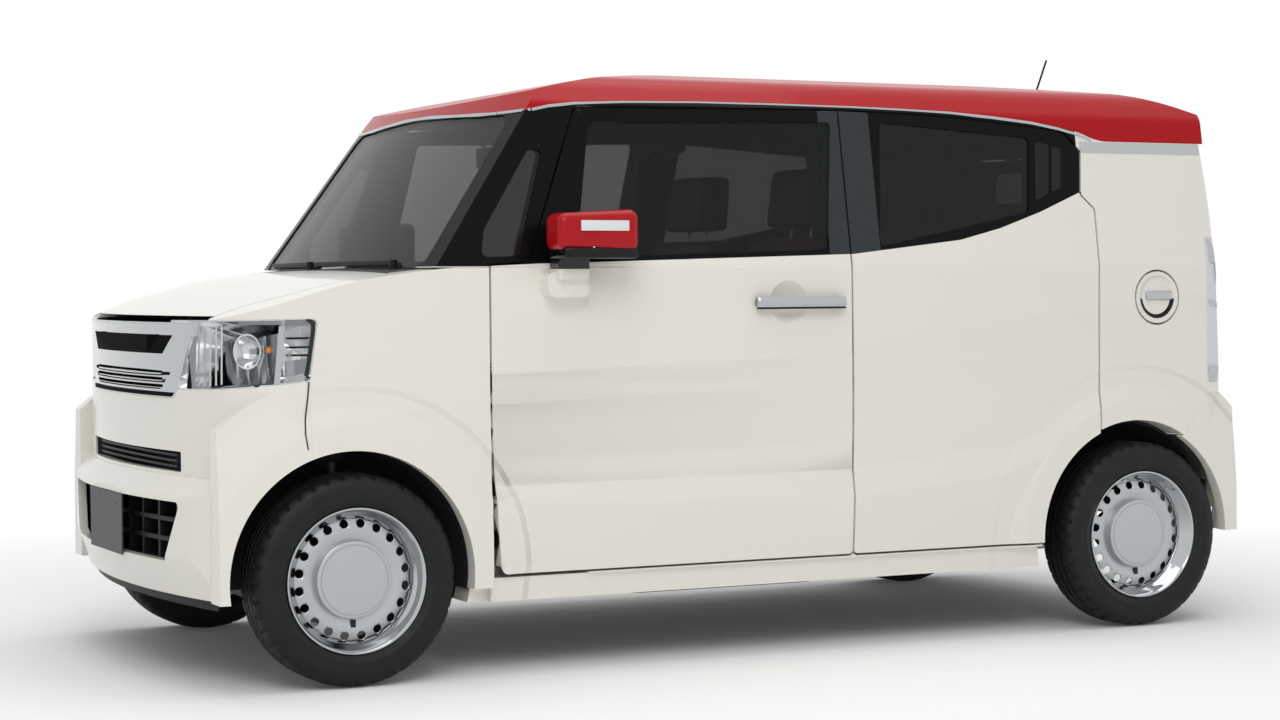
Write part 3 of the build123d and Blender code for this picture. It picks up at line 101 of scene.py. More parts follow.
def pixel_direction(column, row):
    """The direction from the camera through a pixel of the photograph."""
    right, up, forward = camera_axes()
    across = (column - IMAGE_WIDTH / 2) / FOCAL_PIXELS
    down = (row - IMAGE_HEIGHT / 2) / FOCAL_PIXELS
    return (forward + right * across - up * down).normalized()


def seen(node, column, row, inset=0.0):
    """The point and normal of a node at a pixel of the photograph, moved in by some millimetres."""
    hit, place, normal, _ = NODES[node].ray_cast(CAMERA_PLACE, pixel_direction(column, row))
    if not hit:
        raise RuntimeError(f"pixel {column}, {row} misses {node}")
    return place / MM - normal * inset, normal


def seen_rows(node, column, first, last):
    """The first and last pixel rows of a column at which the camera meets a node's upright face."""
    rows = []
    for row in range(first, last):
        hit, _, normal, _ = NODES[node].ray_cast(CAMERA_PLACE, pixel_direction(column, row))
        if hit and abs(normal.z) < UPRIGHT_TILT and normal.y > LEFT_TILT:
            rows.append(row)
    return rows[0], rows[-1]


def near(node, column, row, aim, lift=0.0):
    """The node's skin at a pixel, or at the next pixel towards the aim where it is met."""
    for step in range(NEAR_STEPS):
        share = step / NEAR_STEPS
        direction = pixel_direction(column + (aim[0] - column) * share, row + (aim[1] - row) * share)
        hit, place, normal, _ = NODES[node].ray_cast(CAMERA_PLACE, direction)
        if hit and abs(normal.z) < STEEP_TILT and place.y > FAR_SIDE_Y_M:
            return place / MM + normal * lift
    raise RuntimeError(f"pixel {column}, {row} misses {node}")


def side_y(x, z, names):
    """How far out the left side of these nodes reaches at x and z, or None where there is none."""
    best = None
    for name in names:
        start = Vector((x * MM, OUTSIDE_M, z * MM))
        hit, place, _, _ = NODES[name].ray_cast(start, Vector((0, -1, 0)))
        if hit and (best is None or place.y / MM > best):
            best = place.y / MM
    return best


# Modelling helpers: each piece is made as by hand, then settled at the origin

SMOOTH_ANGLE = 32.0
MERGE_MM = 0.01
NODE_MERGE_MM = 0.02
RIBBON_THICKNESS = 2.0
ROUND_SIDES = 64


def clear_selection():
    if bpy.context.object and bpy.context.object.mode != "OBJECT":
        bpy.ops.object.mode_set(mode="OBJECT")
    bpy.ops.object.select_all(action="DESELECT")


def take(piece):
    """Makes a piece the active one, and the only one selected."""
    clear_selection()
    piece.select_set(True)
    bpy.context.view_layer.objects.active = piece


def edit():
    bpy.ops.object.mode_set(mode="EDIT")


def leave():
    bpy.ops.object.mode_set(mode="OBJECT")


def smooth(angle):
    """Shades the active piece smooth, apart from edges sharper than the angle."""
    bpy.ops.object.shade_smooth_by_angle(angle=math.radians(angle))


def pick_faces(piece, test):
    """Selects the faces whose centre and normal pass the test, and stays in edit mode."""
    leave()
    for vertex in piece.data.vertices:
        vertex.select = False
    for edge in piece.data.edges:
        edge.select = False
    for face in piece.data.polygons:
        face.select = bool(test(face.center, face.normal))
    edit()
    bpy.ops.mesh.select_mode(type="FACE")


def settled(name):
    """The active piece with its place in its mesh, closed seams and faces outwards."""
    piece = bpy.context.object
    leave()
    bpy.ops.object.transform_apply(location=True, rotation=True, scale=True)
    edit()
    bpy.ops.mesh.select_mode(type="VERT")
    bpy.ops.mesh.select_all(action="SELECT")
    bpy.ops.mesh.remove_doubles(threshold=MERGE_MM * MM)
    bpy.ops.mesh.normals_make_consistent(inside=False)
    leave()
    smooth(SMOOTH_ANGLE)
    piece.name = name
    return piece


def apply_modifier(piece, kind, **settings):
    """Gives a piece one modifier and applies it."""
    take(piece)
    modifier = piece.modifiers.new(kind.title(), kind)
    for key, value in settings.items():
        setattr(modifier, key, value)
    bpy.ops.object.modifier_apply(modifier=modifier.name)


def slab(name, low, high, bevel=0.0, segments=2):
    """A block between two corners with rounded edges."""
    clear_selection()
    middle = [(a + b) / 2 * MM for a, b in zip(low, high)]
    size = [(b - a) * MM for a, b in zip(low, high)]
    bpy.ops.mesh.primitive_cube_add(size=1, location=middle, scale=size)
    bpy.ops.object.transform_apply(location=True, rotation=True, scale=True)
    if bevel:
        edit()
        bpy.ops.mesh.select_all(action="SELECT")
        bpy.ops.mesh.bevel(offset=bevel * MM, segments=segments, affect="EDGES")
    return settled(name)


def turned(name, centre, direction, profile, sides, solid=False):
    """A turned piece: profile is (radius, height along the direction) from its start."""
    clear_selection()
    fill = "NGON" if solid else "NOTHING"
    radius, height = profile[0]
    bpy.ops.mesh.primitive_circle_add(
        vertices=sides, radius=radius * MM, fill_type=fill, location=(0, 0, height * MM)
    )
    edit()
    bpy.ops.mesh.select_mode(type="FACE" if solid else "EDGE")
    bpy.ops.mesh.select_all(action="SELECT")
    closed = [] if solid else [profile[0]]
    for next_radius, next_height in profile[1:] + closed:
        rise = (next_height - height) * MM
        bpy.ops.mesh.extrude_region_move(TRANSFORM_OT_translate={"value": (0, 0, rise)})
        share = next_radius / radius
        middle = (0, 0, next_height * MM)
        bpy.ops.transform.resize(value=(share, share, 1), center_override=middle)
        radius, height = next_radius, next_height
    piece = settled(name)
    turn = Vector(direction).to_track_quat("Z", "Y").to_matrix().to_4x4()
    piece.data.transform(Matrix.Translation(Vector(centre) * MM) @ turn)
    return piece


def plate(name, corners, run):
    """A flat outline of 3-D corners, carried along run."""
    clear_selection()
    bpy.ops.mesh.primitive_circle_add(vertices=len(corners), radius=1, fill_type="NGON")
    piece = bpy.context.object
    for vertex, corner in zip(piece.data.vertices, corners):
        vertex.co = Vector(corner) * MM
    edit()
    bpy.ops.mesh.select_all(action="SELECT")
    bpy.ops.mesh.extrude_region_move(TRANSFORM_OT_translate={"value": tuple(Vector(run) * MM)})
    return settled(name)


def drawn(name, points, section):
    """A strip: its section, as offsets from the first point, drawn from point to point."""
    clear_selection()
    bpy.ops.mesh.primitive_circle_add(vertices=len(section), radius=1, fill_type="NGON")
    piece = bpy.context.object
    first = Vector(points[0])
    for vertex, offset in zip(piece.data.vertices, section):
        vertex.co = (first + Vector(offset)) * MM
    edit()
    bpy.ops.mesh.select_all(action="SELECT")
    for before, after in zip(points, points[1:]):
        step = (Vector(after) - Vector(before)) * MM
        bpy.ops.mesh.extrude_region_move(TRANSFORM_OT_translate={"value": tuple(step)})
    return settled(name)


def ribbon(name, node, upper, lower, aim, lift):
    """A thin strip laid on a node's skin between two rows of pixels of equal count."""
    clear_selection()
    bpy.ops.mesh.primitive_grid_add(x_subdivisions=len(upper) - 1, y_subdivisions=1, size=1)
    piece = bpy.context.object
    pixels = list(lower) + list(upper)
    for vertex, (column, row) in zip(piece.data.vertices, pixels):
        vertex.co = near(node, column, row, aim, lift) * MM
    apply_modifier(piece, "SOLIDIFY", thickness=RIBBON_THICKNESS * MM, offset=-1.0)
    return settled(name)


def copied(piece, name, place):
    """A copy with its own mesh, moved by a matrix; a mirrored copy has its faces turned back."""
    copy = piece.copy()
    copy.data = piece.data.copy()
    copy.name = name
    copy.data.transform(place)
    if place.determinant() < 0:
        copy.data.flip_normals()
    bpy.context.scene.collection.objects.link(copy)
    return copy


def merged_copy(node, name):
    """A free copy of a node's mesh with its loose triangles joined."""
    copy = bpy.data.objects.new(name, NODES[node].data.copy())
    bpy.context.scene.collection.objects.link(copy)
    take(copy)
    edit()
    bpy.ops.mesh.select_all(action="SELECT")
    bpy.ops.mesh.remove_doubles(threshold=NODE_MERGE_MM * MM)
    leave()
    return copy


def cut_round(piece, x, z, radius, y_from, y_to):
    """Bores a round hole through a piece from the left or the right side."""
    start = (x, min(y_from, y_to), z)
    profile = [(radius, 0), (radius, abs(y_to - y_from))]
    punch = turned("punch", start, (0, 1, 0), profile, ROUND_SIDES, True)
    apply_modifier(piece, "BOOLEAN", operation="DIFFERENCE", object=punch, solver="EXACT")
    bpy.data.objects.remove(punch)


def dress(piece, material, body, slot_name, *nodes):
    """Gives a piece its finish, its body and the nodes that it stands for."""
    piece.data.materials.clear()
    piece.data.materials.append(material)
    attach(piece, body)
    if nodes:
        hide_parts(*nodes)
    return piece


def on_both_sides(piece, finish, slot_name, side_body=None, side_node=None):
    """Dresses a left piece and its mirror image, on the car's body or on a body of each side."""
    twin = copied(piece, piece.name + "_right", MIRROR)
    piece.name = piece.name + "_left"
    for made, side in ((piece, "left"), (twin, "right")):
        body = f"{side_body}_{side}" if side_body else "body"
        nodes = [f"{side_node}_{side}"] if side_node else []
        dress(made, FINISH[finish], body, slot_name, *nodes)


# Material helpers

# Detail of the noise in grain and in patches, and the middle stretch of the noise that patches use
GRAIN_DETAIL = 2.0
PATCH_DETAIL = 3.0
PATCH_RANGE = (0.3, 0.7)


def linear(code):
    """An sRGB hex colour as linear RGBA."""
    parts = [int(code[i:i + 2], 16) / 255 for i in (1, 3, 5)]
    parts = [c / 12.92 if c <= 0.04045 else ((c + 0.055) / 1.055) ** 2.4 for c in parts]
    return (*parts, 1.0)


def add(tree, kind, inputs=None, **settings):
    """Adds a node; an input that is a socket is linked, and any other is set."""
    made = tree.nodes.new(kind)
    for key, value in settings.items():
        setattr(made, key, value)
    for key, value in (inputs or {}).items():
        if isinstance(value, bpy.types.NodeSocket):
            tree.links.new(value, made.inputs[key])
        else:
            made.inputs[key].default_value = value
    return made


def surface(name, **inputs):
    """A material with one Principled shader. Returns the material, its tree and its shader."""
    material = bpy.data.materials.new(name)
    material.use_nodes = True
    tree = material.node_tree
    tree.nodes.clear()
    named = {key.replace("_", " "): value for key, value in inputs.items()}
    shader = add(tree, "ShaderNodeBsdfPrincipled", named)
    add(tree, "ShaderNodeOutputMaterial", {"Surface": shader.outputs[0]})
    return material, tree, shader


def object_place(tree):
    return add(tree, "ShaderNodeTexCoord").outputs["Object"]


def axes(tree):
    """The three coordinates of the place on the piece, in metres."""
    return add(tree, "ShaderNodeSeparateXYZ", {"Vector": object_place(tree)}).outputs


def cloudy(tree, size_mm, detail):
    """Noise whose patches have a real size."""
    inputs = {"Vector": object_place(tree), "Scale": 1000 / size_mm, "Detail": detail}
    return add(tree, "ShaderNodeTexNoise", inputs).outputs["Fac"]


def mapped(tree, value, from_low, from_high, to_low, to_high):
    """A value carried from one range to another."""
    inputs = {"Value": value, "From Min": from_low, "From Max": from_high}
    inputs.update({"To Min": to_low, "To Max": to_high})
    return add(tree, "ShaderNodeMapRange", inputs).outputs[0]


def grain(tree, shader, size_mm, height_mm, strength):
    """Bumps of a real width and height over the whole surface."""
    noise = cloudy(tree, size_mm, GRAIN_DETAIL)
    inputs = {"Height": noise, "Distance": height_mm * MM, "Strength": strength}
    bump = add(tree, "ShaderNodeBump", inputs)
    tree.links.new(bump.outputs[0], shader.inputs["Normal"])


def uneven(tree, shader, low, high, size_mm):
    """Lets the roughness wander between low and high over patches of a real size."""
    spread = mapped(tree, cloudy(tree, size_mm, PATCH_DETAIL), *PATCH_RANGE, low, high)
    tree.links.new(spread, shader.inputs["Roughness"])


def patchy(name, low, high, size_mm, **inputs):
    """A smooth material whose roughness wanders a little over patches of a real size."""
    material, tree, shader = surface(name, **inputs)
    uneven(tree, shader, low, high, size_mm)
    return material


def sums(tree, kind, first, second=0.0):
    """One step of arithmetic on sockets or numbers."""
    return add(tree, "ShaderNodeMath", {0: first, 1: second}, operation=kind).outputs[0]


def blend_colours(tree, share, first, second):
    """The first colour, going over to the second as the share goes from 0 to 1."""
    return add(tree, "ShaderNodeMix", {0: share, 6: first, 7: second}, data_type="RGBA").outputs[2]


def over_line(tree, along, height, start, end):
    """1 where the surface lies over the line from start to end, given as (x, z) in millimetres."""
    slope = (end[1] - start[1]) / (end[0] - start[0])
    rise = sums(tree, "MULTIPLY", sums(tree, "SUBTRACT", along, start[0] * MM), slope)
    return sums(tree, "GREATER_THAN", sums(tree, "SUBTRACT", height, rise), start[1] * MM)


# Colours and lines of the paint

IVORY = linear("#EDEBE2")
RED = linear("#B00C16")
GLOSS_BLACK = linear("#0B0C0D")
FRAME_GREY = linear("#3A3D3F")
LINING = linear("#34302D")
GLOSS = {"Roughness": 0.3, "Coat_Weight": 0.5, "Coat_Roughness": 0.04, "Specular_IOR_Level": 0.25}

# Width, height and strength of the enamel's orange peel
ORANGE_PEEL = (6.0, 0.02, 0.15)

# Size of the wheel lacquer's flake, as coarse as it needs to show, and of the hide's shade changes
FLAKE_MM = 1.1111
HIDE_SHADE_MM = 83.33

# Shine of the enamel and of the black trim beside it
ENAMEL_SPECULAR = 0.3
ENAMEL_COAT = 0.5
TRIM_SHINE = 0.06

# The black window frames begin over this line, as (x, z) from front to back
BELT_POINTS = [(735, 1100), (-279, 1127), (-647, 1168), (-791, 1203), (-939, 1252), (-1084, 1310)]
GREY_FRAME_X = (-371, -203)
QUARTER_X = -1094
PILLAR_Z = 1094
GATE_FRAME_Z = 1085
MIRROR_FOOT_SPLIT_Z = 1086
TAIL_RED_HALF_WIDTH = 683
LID_DISH_SPLIT_Z = 992

# The long crease in the side, as (x, z), and how the panel under it leans and bows
CREASE_POINTS = [(836, 740), (-266, 868), (-1241, 979)]
CREASE_TILT = 0.09
CREASE_DEPTH = 260
CREASE_BOW = 0.5

# The flares round the wheel openings: middle x, middle z and radius, and the step at their edge
ARCHES = ((1239, 282, 505), (-1258, 282, 512))
FLARE_FALL = 8.0
FLARE_EDGE = 16

# How far a face must lean to count as looking into the cabin
INWARD_SIDE = -0.1
INWARD_TILT = 0.3


def inward(tree, outside):
    """1 on faces that look into the cabin; outside is the direction of the outer face."""
    normal = add(tree, "ShaderNodeNewGeometry").outputs["Normal"]
    parts = add(tree, "ShaderNodeSeparateXYZ", {"Vector": normal}).outputs
    if outside == "side":
        return sums(tree, "LESS_THAN", sums(tree, "MULTIPLY", parts["Y"], axes(tree)["Y"]), INWARD_SIDE)
    if outside == "up":
        return sums(tree, "LESS_THAN", parts["Z"], -INWARD_TILT)
    return sums(tree, "GREATER_THAN", parts["X"], INWARD_TILT)


def calm(tree, shader, share):
    """Holds back the shine where share is 1, so that black trim stays black."""
    for socket, shine in (("Specular IOR Level", ENAMEL_SPECULAR), ("Coat Weight", ENAMEL_COAT)):
        tree.links.new(mapped(tree, share, 0.0, 1.0, shine, TRIM_SHINE), shader.inputs[socket])


def under_crease(tree, place):
    """How far a place lies under the long side crease, in metres."""
    deepest = None
    for start, end in zip(CREASE_POINTS, CREASE_POINTS[1:]):
        slope = (end[1] - start[1]) / (end[0] - start[0])
        rise = sums(tree, "MULTIPLY", sums(tree, "SUBTRACT", place["X"], start[0] * MM), slope)
        depth = sums(tree, "SUBTRACT", sums(tree, "ADD", rise, start[1] * MM), place["Z"])
        deepest = depth if deepest is None else sums(tree, "MAXIMUM", deepest, depth)
    return deepest


def creased(tree, shader):
    """Leans the panels under the side crease a little downwards, and lifts the flares round the wheels."""
    place = axes(tree)
    ramp = mapped(tree, under_crease(tree, place), 0.0, CREASE_DEPTH * MM, 0.0, 1.0)
    bow = sums(tree, "MULTIPLY", sums(tree, "POWER", ramp, 2.0), CREASE_BOW)
    height = sums(tree, "MULTIPLY", sums(tree, "SUBTRACT", ramp, bow), -CREASE_TILT * CREASE_DEPTH * MM)
    for centre_x, centre_z, radius in ARCHES:
        along = sums(tree, "POWER", sums(tree, "SUBTRACT", place["X"], centre_x * MM), 2.0)
        rise = sums(tree, "POWER", sums(tree, "SUBTRACT", place["Z"], centre_z * MM), 2.0)
        reach = sums(tree, "SQRT", sums(tree, "ADD", along, rise))
        shelf = mapped(tree, reach, (radius - FLARE_EDGE) * MM, radius * MM, FLARE_FALL * MM, 0.0)
        height = sums(tree, "ADD", height, shelf)
    bump = add(tree, "ShaderNodeBump", {"Height": height, "Distance": 1.0, "Strength": 1.0})
    tree.links.new(bump.outputs[0], shader.inputs["Normal"])


# Materials


def ivory_paint():
    """Solid pearl enamel under clear lacquer: deep gloss with a faint orange peel."""
    material, tree, shader = surface("ivory_pearl_enamel", Base_Color=IVORY, **GLOSS)
    grain(tree, shader, *ORANGE_PEEL)
    return material


def wing_paint():
    """The same enamel where the side crease and the arch flares run through it."""
    material, tree, shader = surface("ivory_pearl_enamel_wings", Base_Color=IVORY, **GLOSS)
    creased(tree, shader)
    return material


def red_paint():
    """Bright red enamel under clear lacquer; the lining inside it is dark cloth."""
    material, tree, shader = surface(
        "red_enamel", Roughness=0.3, Coat_Weight=0.15, Coat_Roughness=0.05, Specular_IOR_Level=0.1
    )
    colour = blend_colours(tree, inward(tree, "up"), RED, LINING)
    tree.links.new(colour, shader.inputs["Base Color"])
    grain(tree, shader, *ORANGE_PEEL)
    return material


def mirror_red():
    """The mirror caps' red enamel, a little glossier than the roof's."""
    material, tree, shader = surface(
        "red_enamel_cap", Base_Color=RED, Roughness=0.3, Coat_Weight=0.2, Coat_Roughness=0.05,
        Specular_IOR_Level=0.15,
    )
    grain(tree, shader, *ORANGE_PEEL)
    return material


def foot_paint():
    """The mirror foot: ivory pod on the door, black stalk over it."""
    material, tree, shader = surface("ivory_enamel_pod", **GLOSS)
    high = sums(tree, "GREATER_THAN", axes(tree)["Z"], MIRROR_FOOT_SPLIT_Z * MM)
    tree.links.new(blend_colours(tree, high, IVORY, GLOSS_BLACK), shader.inputs["Base Color"])
    grain(tree, shader, *ORANGE_PEEL)
    return material


def door_paint():
    """Ivory enamel to the belt, gloss black window frames over it, and grey tape on the centre frames."""
    material, tree, shader = surface("ivory_enamel_black_frames", **GLOSS)
    place = axes(tree)
    over = None
    for start, end in zip(BELT_POINTS, BELT_POINTS[1:]):
        part = over_line(tree, place["X"], place["Z"], start, end)
        over = part if over is None else sums(tree, "MULTIPLY", over, part)
    before = sums(tree, "LESS_THAN", place["X"], GREY_FRAME_X[1] * MM)
    middle = sums(tree, "MULTIPLY", before, sums(tree, "GREATER_THAN", place["X"], GREY_FRAME_X[0] * MM))
    dark = blend_colours(tree, middle, GLOSS_BLACK, FRAME_GREY)
    colour = blend_colours(tree, over, IVORY, dark)
    calm(tree, shader, over)
    colour = blend_colours(tree, inward(tree, "side"), colour, LINING)
    tree.links.new(colour, shader.inputs["Base Color"])
    creased(tree, shader)
    return material


def side_paint():
    """Ivory enamel on the quarter panel and sill, gloss black pillars ahead of it."""
    material, tree, shader = surface("ivory_enamel_black_pillars", **GLOSS)
    place = axes(tree)
    high = sums(tree, "GREATER_THAN", place["Z"], PILLAR_Z * MM)
    ahead = sums(tree, "GREATER_THAN", place["X"], QUARTER_X * MM)
    black = sums(tree, "MULTIPLY", high, ahead)
    colour = blend_colours(tree, black, IVORY, GLOSS_BLACK)
    calm(tree, shader, black)
    colour = blend_colours(tree, inward(tree, "side"), colour, LINING)
    tree.links.new(colour, shader.inputs["Base Color"])
    creased(tree, shader)
    return material


def gate_paint():
    """Ivory enamel on the tailgate, black round its window."""
    material, tree, shader = surface("ivory_enamel_tailgate", **GLOSS)
    high = sums(tree, "GREATER_THAN", axes(tree)["Z"], GATE_FRAME_Z * MM)
    colour = blend_colours(tree, high, IVORY, GLOSS_BLACK)
    colour = blend_colours(tree, inward(tree, "back"), colour, LINING)
    tree.links.new(colour, shader.inputs["Base Color"])
    grain(tree, shader, *ORANGE_PEEL)
    return material


def black_plastic():
    """Moulded polypropylene with a fine grain: matt, with soft highlights."""
    material, tree, shader = surface(
        "moulded_black_polypropylene", Base_Color=linear("#0E0F11"), Roughness=0.5, Specular_IOR_Level=0.22
    )
    grain(tree, shader, 1.2, 0.05, 0.4)
    return material


def shaded_plastic():
    """Rough black plastic drawn darker than the other black plastic, as painted shade deep in an opening,
    where next to no light comes back.
    """
    material, tree, shader = surface(
        "shaded_black_plastic", Base_Color=linear("#060607"), Roughness=0.7, Specular_IOR_Level=0.03
    )
    grain(tree, shader, 1.2, 0.05, 0.4)
    return material


def gloss_black():
    """Piano black acrylic trim."""
    return patchy("gloss_black_acrylic", 0.11, 0.2, 40.0, Base_Color=GLOSS_BLACK, Specular_IOR_Level=0.25)


def rubber_seal():
    """Extruded rubber: dull black."""
    material, tree, shader = surface("extruded_rubber", Base_Color=linear("#101112"), Roughness=0.7)
    grain(tree, shader, 0.8, 0.03, 0.3)
    return material


def tyre_rubber():
    """Vulcanised tyre rubber: black with a dull bloom."""
    material, tree, shader = surface(
        "tyre_rubber", Base_Color=linear("#111213"), Roughness=0.55, Specular_IOR_Level=0.3
    )
    grain(tree, shader, 2.0, 0.08, 0.5)
    uneven(tree, shader, 0.48, 0.66, 40.0)
    return material


def chrome():
    """Chromium plate on smooth plastic: a clean mirror."""
    return patchy("chromium_plate", 0.05, 0.1, 60.0, Base_Color=linear("#B4B7B9"), Metallic=1.0)


def silver_paint():
    """Silver wheel lacquer: metal flake that glitters softly, drawn as coarse as it needs to show."""
    material, tree, shader = surface("silver_wheel_lacquer", Metallic=0.85, Roughness=0.34, Coat_Weight=0.4)
    flake = blend_colours(tree, cloudy(tree, FLAKE_MM, 1.0), linear("#A2A5A8"), linear("#C6C9CB"))
    tree.links.new(flake, shader.inputs["Base Color"])
    return material


def satin_band():
    """Brushed anodised aluminium band."""
    return patchy("brushed_aluminium", 0.24, 0.36, 8.0, Base_Color=linear("#B9BBBC"), Metallic=1.0)


def dark_steel():
    """Drawn steel with a thin rust-proof coat."""
    material, tree, shader = surface(
        "coated_steel", Base_Color=linear("#2A2B2D"), Metallic=0.3, Roughness=0.5
    )
    grain(tree, shader, 3.0, 0.05, 0.4)
    return material


def casting():
    """Sand-cast iron: rough and mid grey."""
    material, tree, shader = surface("cast_iron", Base_Color=linear("#5A5B5C"), Metallic=0.6, Roughness=0.6)
    grain(tree, shader, 2.5, 0.2, 0.6)
    return material


def exhaust_steel():
    """Aluminised pipe, dulled by heat."""
    return patchy("aluminised_steel", 0.35, 0.6, 30.0, Base_Color=linear("#8A857C"), Metallic=0.9)


def underseal():
    """Sprayed bitumen coat: black, matt and lumpy."""
    material, tree, shader = surface("sprayed_underseal", Base_Color=linear("#161616"), Roughness=0.85)
    grain(tree, shader, 5.0, 0.5, 0.6)
    return material


def window_glass(name, colour, alpha):
    """Toughened glass: a clear sheet with a body tint that holds back some of the light."""
    return patchy(
        name, 0.01, 0.04, 90.0, Base_Color=linear(colour), Alpha=alpha, IOR=1.52, Specular_IOR_Level=0.25
    )


def lamp_glass():
    """Clear polycarbonate lens."""
    return patchy("clear_polycarbonate", 0.01, 0.05, 40.0, Base_Color=linear("#F2F5F7"), Alpha=0.22, IOR=1.58)


def bright_bowl():
    """Vacuum-metallised reflector."""
    return patchy("metallised_reflector", 0.12, 0.2, 15.0, Base_Color=linear("#C9CCCE"), Metallic=1.0)


def amber_glass():
    """Amber lacquered bulb."""
    return patchy("amber_bulb", 0.06, 0.16, 5.0, Base_Color=linear("#E07A1C"), Coat_Weight=1.0)


def marker_acrylic():
    """Smoked acrylic of the lamp's marker block and hood."""
    return patchy("smoked_acrylic", 0.1, 0.2, 20.0, Base_Color=linear("#74787C"), Coat_Weight=1.0)


def turn_lens_acrylic():
    """Milky acrylic of the lens on the mirror cap."""
    return patchy("white_acrylic", 0.06, 0.14, 20.0, Base_Color=linear("#E4E7E8"), Coat_Weight=1.0)


def tail_lens():
    """Acrylic tail lamp: clear round the side, red behind."""
    material, tree, shader = surface("acrylic_tail_lens", Coat_Weight=1.0)
    inner = sums(tree, "LESS_THAN", sums(tree, "ABSOLUTE", axes(tree)["Y"]), TAIL_RED_HALF_WIDTH * MM)
    colour = blend_colours(tree, inner, linear("#D5DADD"), linear("#A01018"))
    tree.links.new(colour, shader.inputs["Base Color"])
    uneven(tree, shader, 0.06, 0.12, 30.0)
    return material


def seat_leather():
    """Coated red-brown hide: soft sheen, fine pebble grain and gentle shade changes."""
    material, tree, shader = surface("red_brown_leather", Roughness=0.45)
    shade = cloudy(tree, HIDE_SHADE_MM, PATCH_DETAIL)
    colour = blend_colours(tree, shade, linear("#7A2A1F"), linear("#963A2B"))
    tree.links.new(colour, shader.inputs["Base Color"])
    grain(tree, shader, 2.2, 0.25, 0.5)
    return material


def piping_cord():
    """Dark brown hide sewn over a cord."""
    material, tree, shader = surface("sewn_hide_piping", Base_Color=linear("#4A1B15"), Roughness=0.5)
    grain(tree, shader, 1.5, 0.15, 0.5)
    return material


def plate_paint():
    """Dark grey baked paint on a blank number plate."""
    material, tree, shader = surface(
        "dark_grey_plate_paint", Base_Color=linear("#34363A"), Roughness=0.4, Specular_IOR_Level=0.2
    )
    grain(tree, shader, 1.5, 0.02, 0.3)
    return material


def lid_dish_finish():
    """The lid's hollow: ivory in its upper half, gloss black acrylic in its lower half."""
    material, tree, shader = surface("ivory_over_black_acrylic", Specular_IOR_Level=0.2)
    low = sums(tree, "LESS_THAN", axes(tree)["Z"], LID_DISH_SPLIT_Z * MM)
    tree.links.new(blend_colours(tree, low, IVORY, GLOSS_BLACK), shader.inputs["Base Color"])
    uneven(tree, shader, 0.15, 0.26, 20.0)
    return material


def mirror_silver():
    """Silvered mirror glass with a faint haze."""
    return patchy("silvered_glass", 0.01, 0.04, 60.0, Base_Color=linear("#E6E9EA"), Metallic=1.0)


FINISH = {
    "ivory": ivory_paint(),
    "wing": wing_paint(),
    "red": red_paint(),
    "mirror_red": mirror_red(),
    "foot": foot_paint(),
    "door": door_paint(),
    "side": side_paint(),
    "gate": gate_paint(),
    "plastic": black_plastic(),
    "shaded": shaded_plastic(),
    "gloss_black": gloss_black(),
    "seal": rubber_seal(),
    "tyre": tyre_rubber(),
    "chrome": chrome(),
    "silver": silver_paint(),
    "satin": satin_band(),
    "steel": dark_steel(),
    "casting": casting(),
    "exhaust": exhaust_steel(),
    "underseal": underseal(),
    "screen": window_glass("green_tinted_glass", "#28302D", 0.45),
    "door_glass": window_glass("grey_tinted_glass", "#121617", 0.5),
    "privacy": window_glass("dark_tinted_glass", "#141617", 0.68),
    "lid_dish": lid_dish_finish(),
    "marker_grey": marker_acrylic(),
    "lens_white": turn_lens_acrylic(),
    "lens": lamp_glass(),
    "bowl": bright_bowl(),
    "amber": amber_glass(),
    "tail": tail_lens(),
    "leather": seat_leather(),
    "piping": piping_cord(),
    "plate": plate_paint(),
    "mirror": mirror_silver(),
}

# The finish of each CAD node; a side's own node is named without its side
NODE_FINISH = {
    "body_sides": "side", "roof": "red", "front_bumper": "ivory", "front_fenders": "wing",
    "bonnet": "ivory", "rear_bumper": "wing", "fuel_lid": "ivory", "tailgate": "gate", "grille": "chrome",
    "bumper_lip": "plastic", "intake_mesh": "plastic", "cowl": "plastic", "antenna": "plastic",
    "wipers": "plastic", "dashboard": "plastic", "steering_wheel": "plastic", "floor_pan": "underseal",
    "wheel_housings": "underseal", "bulkhead": "underseal", "fuel_tank": "plastic",
    "engine_block": "casting", "front_subframe": "steel", "rear_axle": "steel", "exhaust": "exhaust",
    "windscreen": "screen", "corner_glass": "privacy", "tailgate_glass": "privacy", "tail_lamps": "tail",
    "front_plate": "plate",
}
SIDE_FINISH = {
    "door_front": "door", "door_rear": "door", "glass_front": "door_glass", "glass_rear": "privacy",
    "handle": "chrome", "mirror": "mirror_red", "mirror_foot": "foot", "mirror_glass": "mirror",
    "knuckle": "casting",
}


def finish_nodes():
    """Gives every CAD node its finish."""
    finishes = dict(NODE_FINISH)
    for name, key in SIDE_FINISH.items():
        finishes[name + "_left"] = key
        finishes[name + "_right"] = key
    for name, key in finishes.items():
        NODES[name].data.materials.clear()
        NODES[name].data.materials.append(FINISH[key])


# Wheels: profiles are (radius, height out from the wheel's middle)

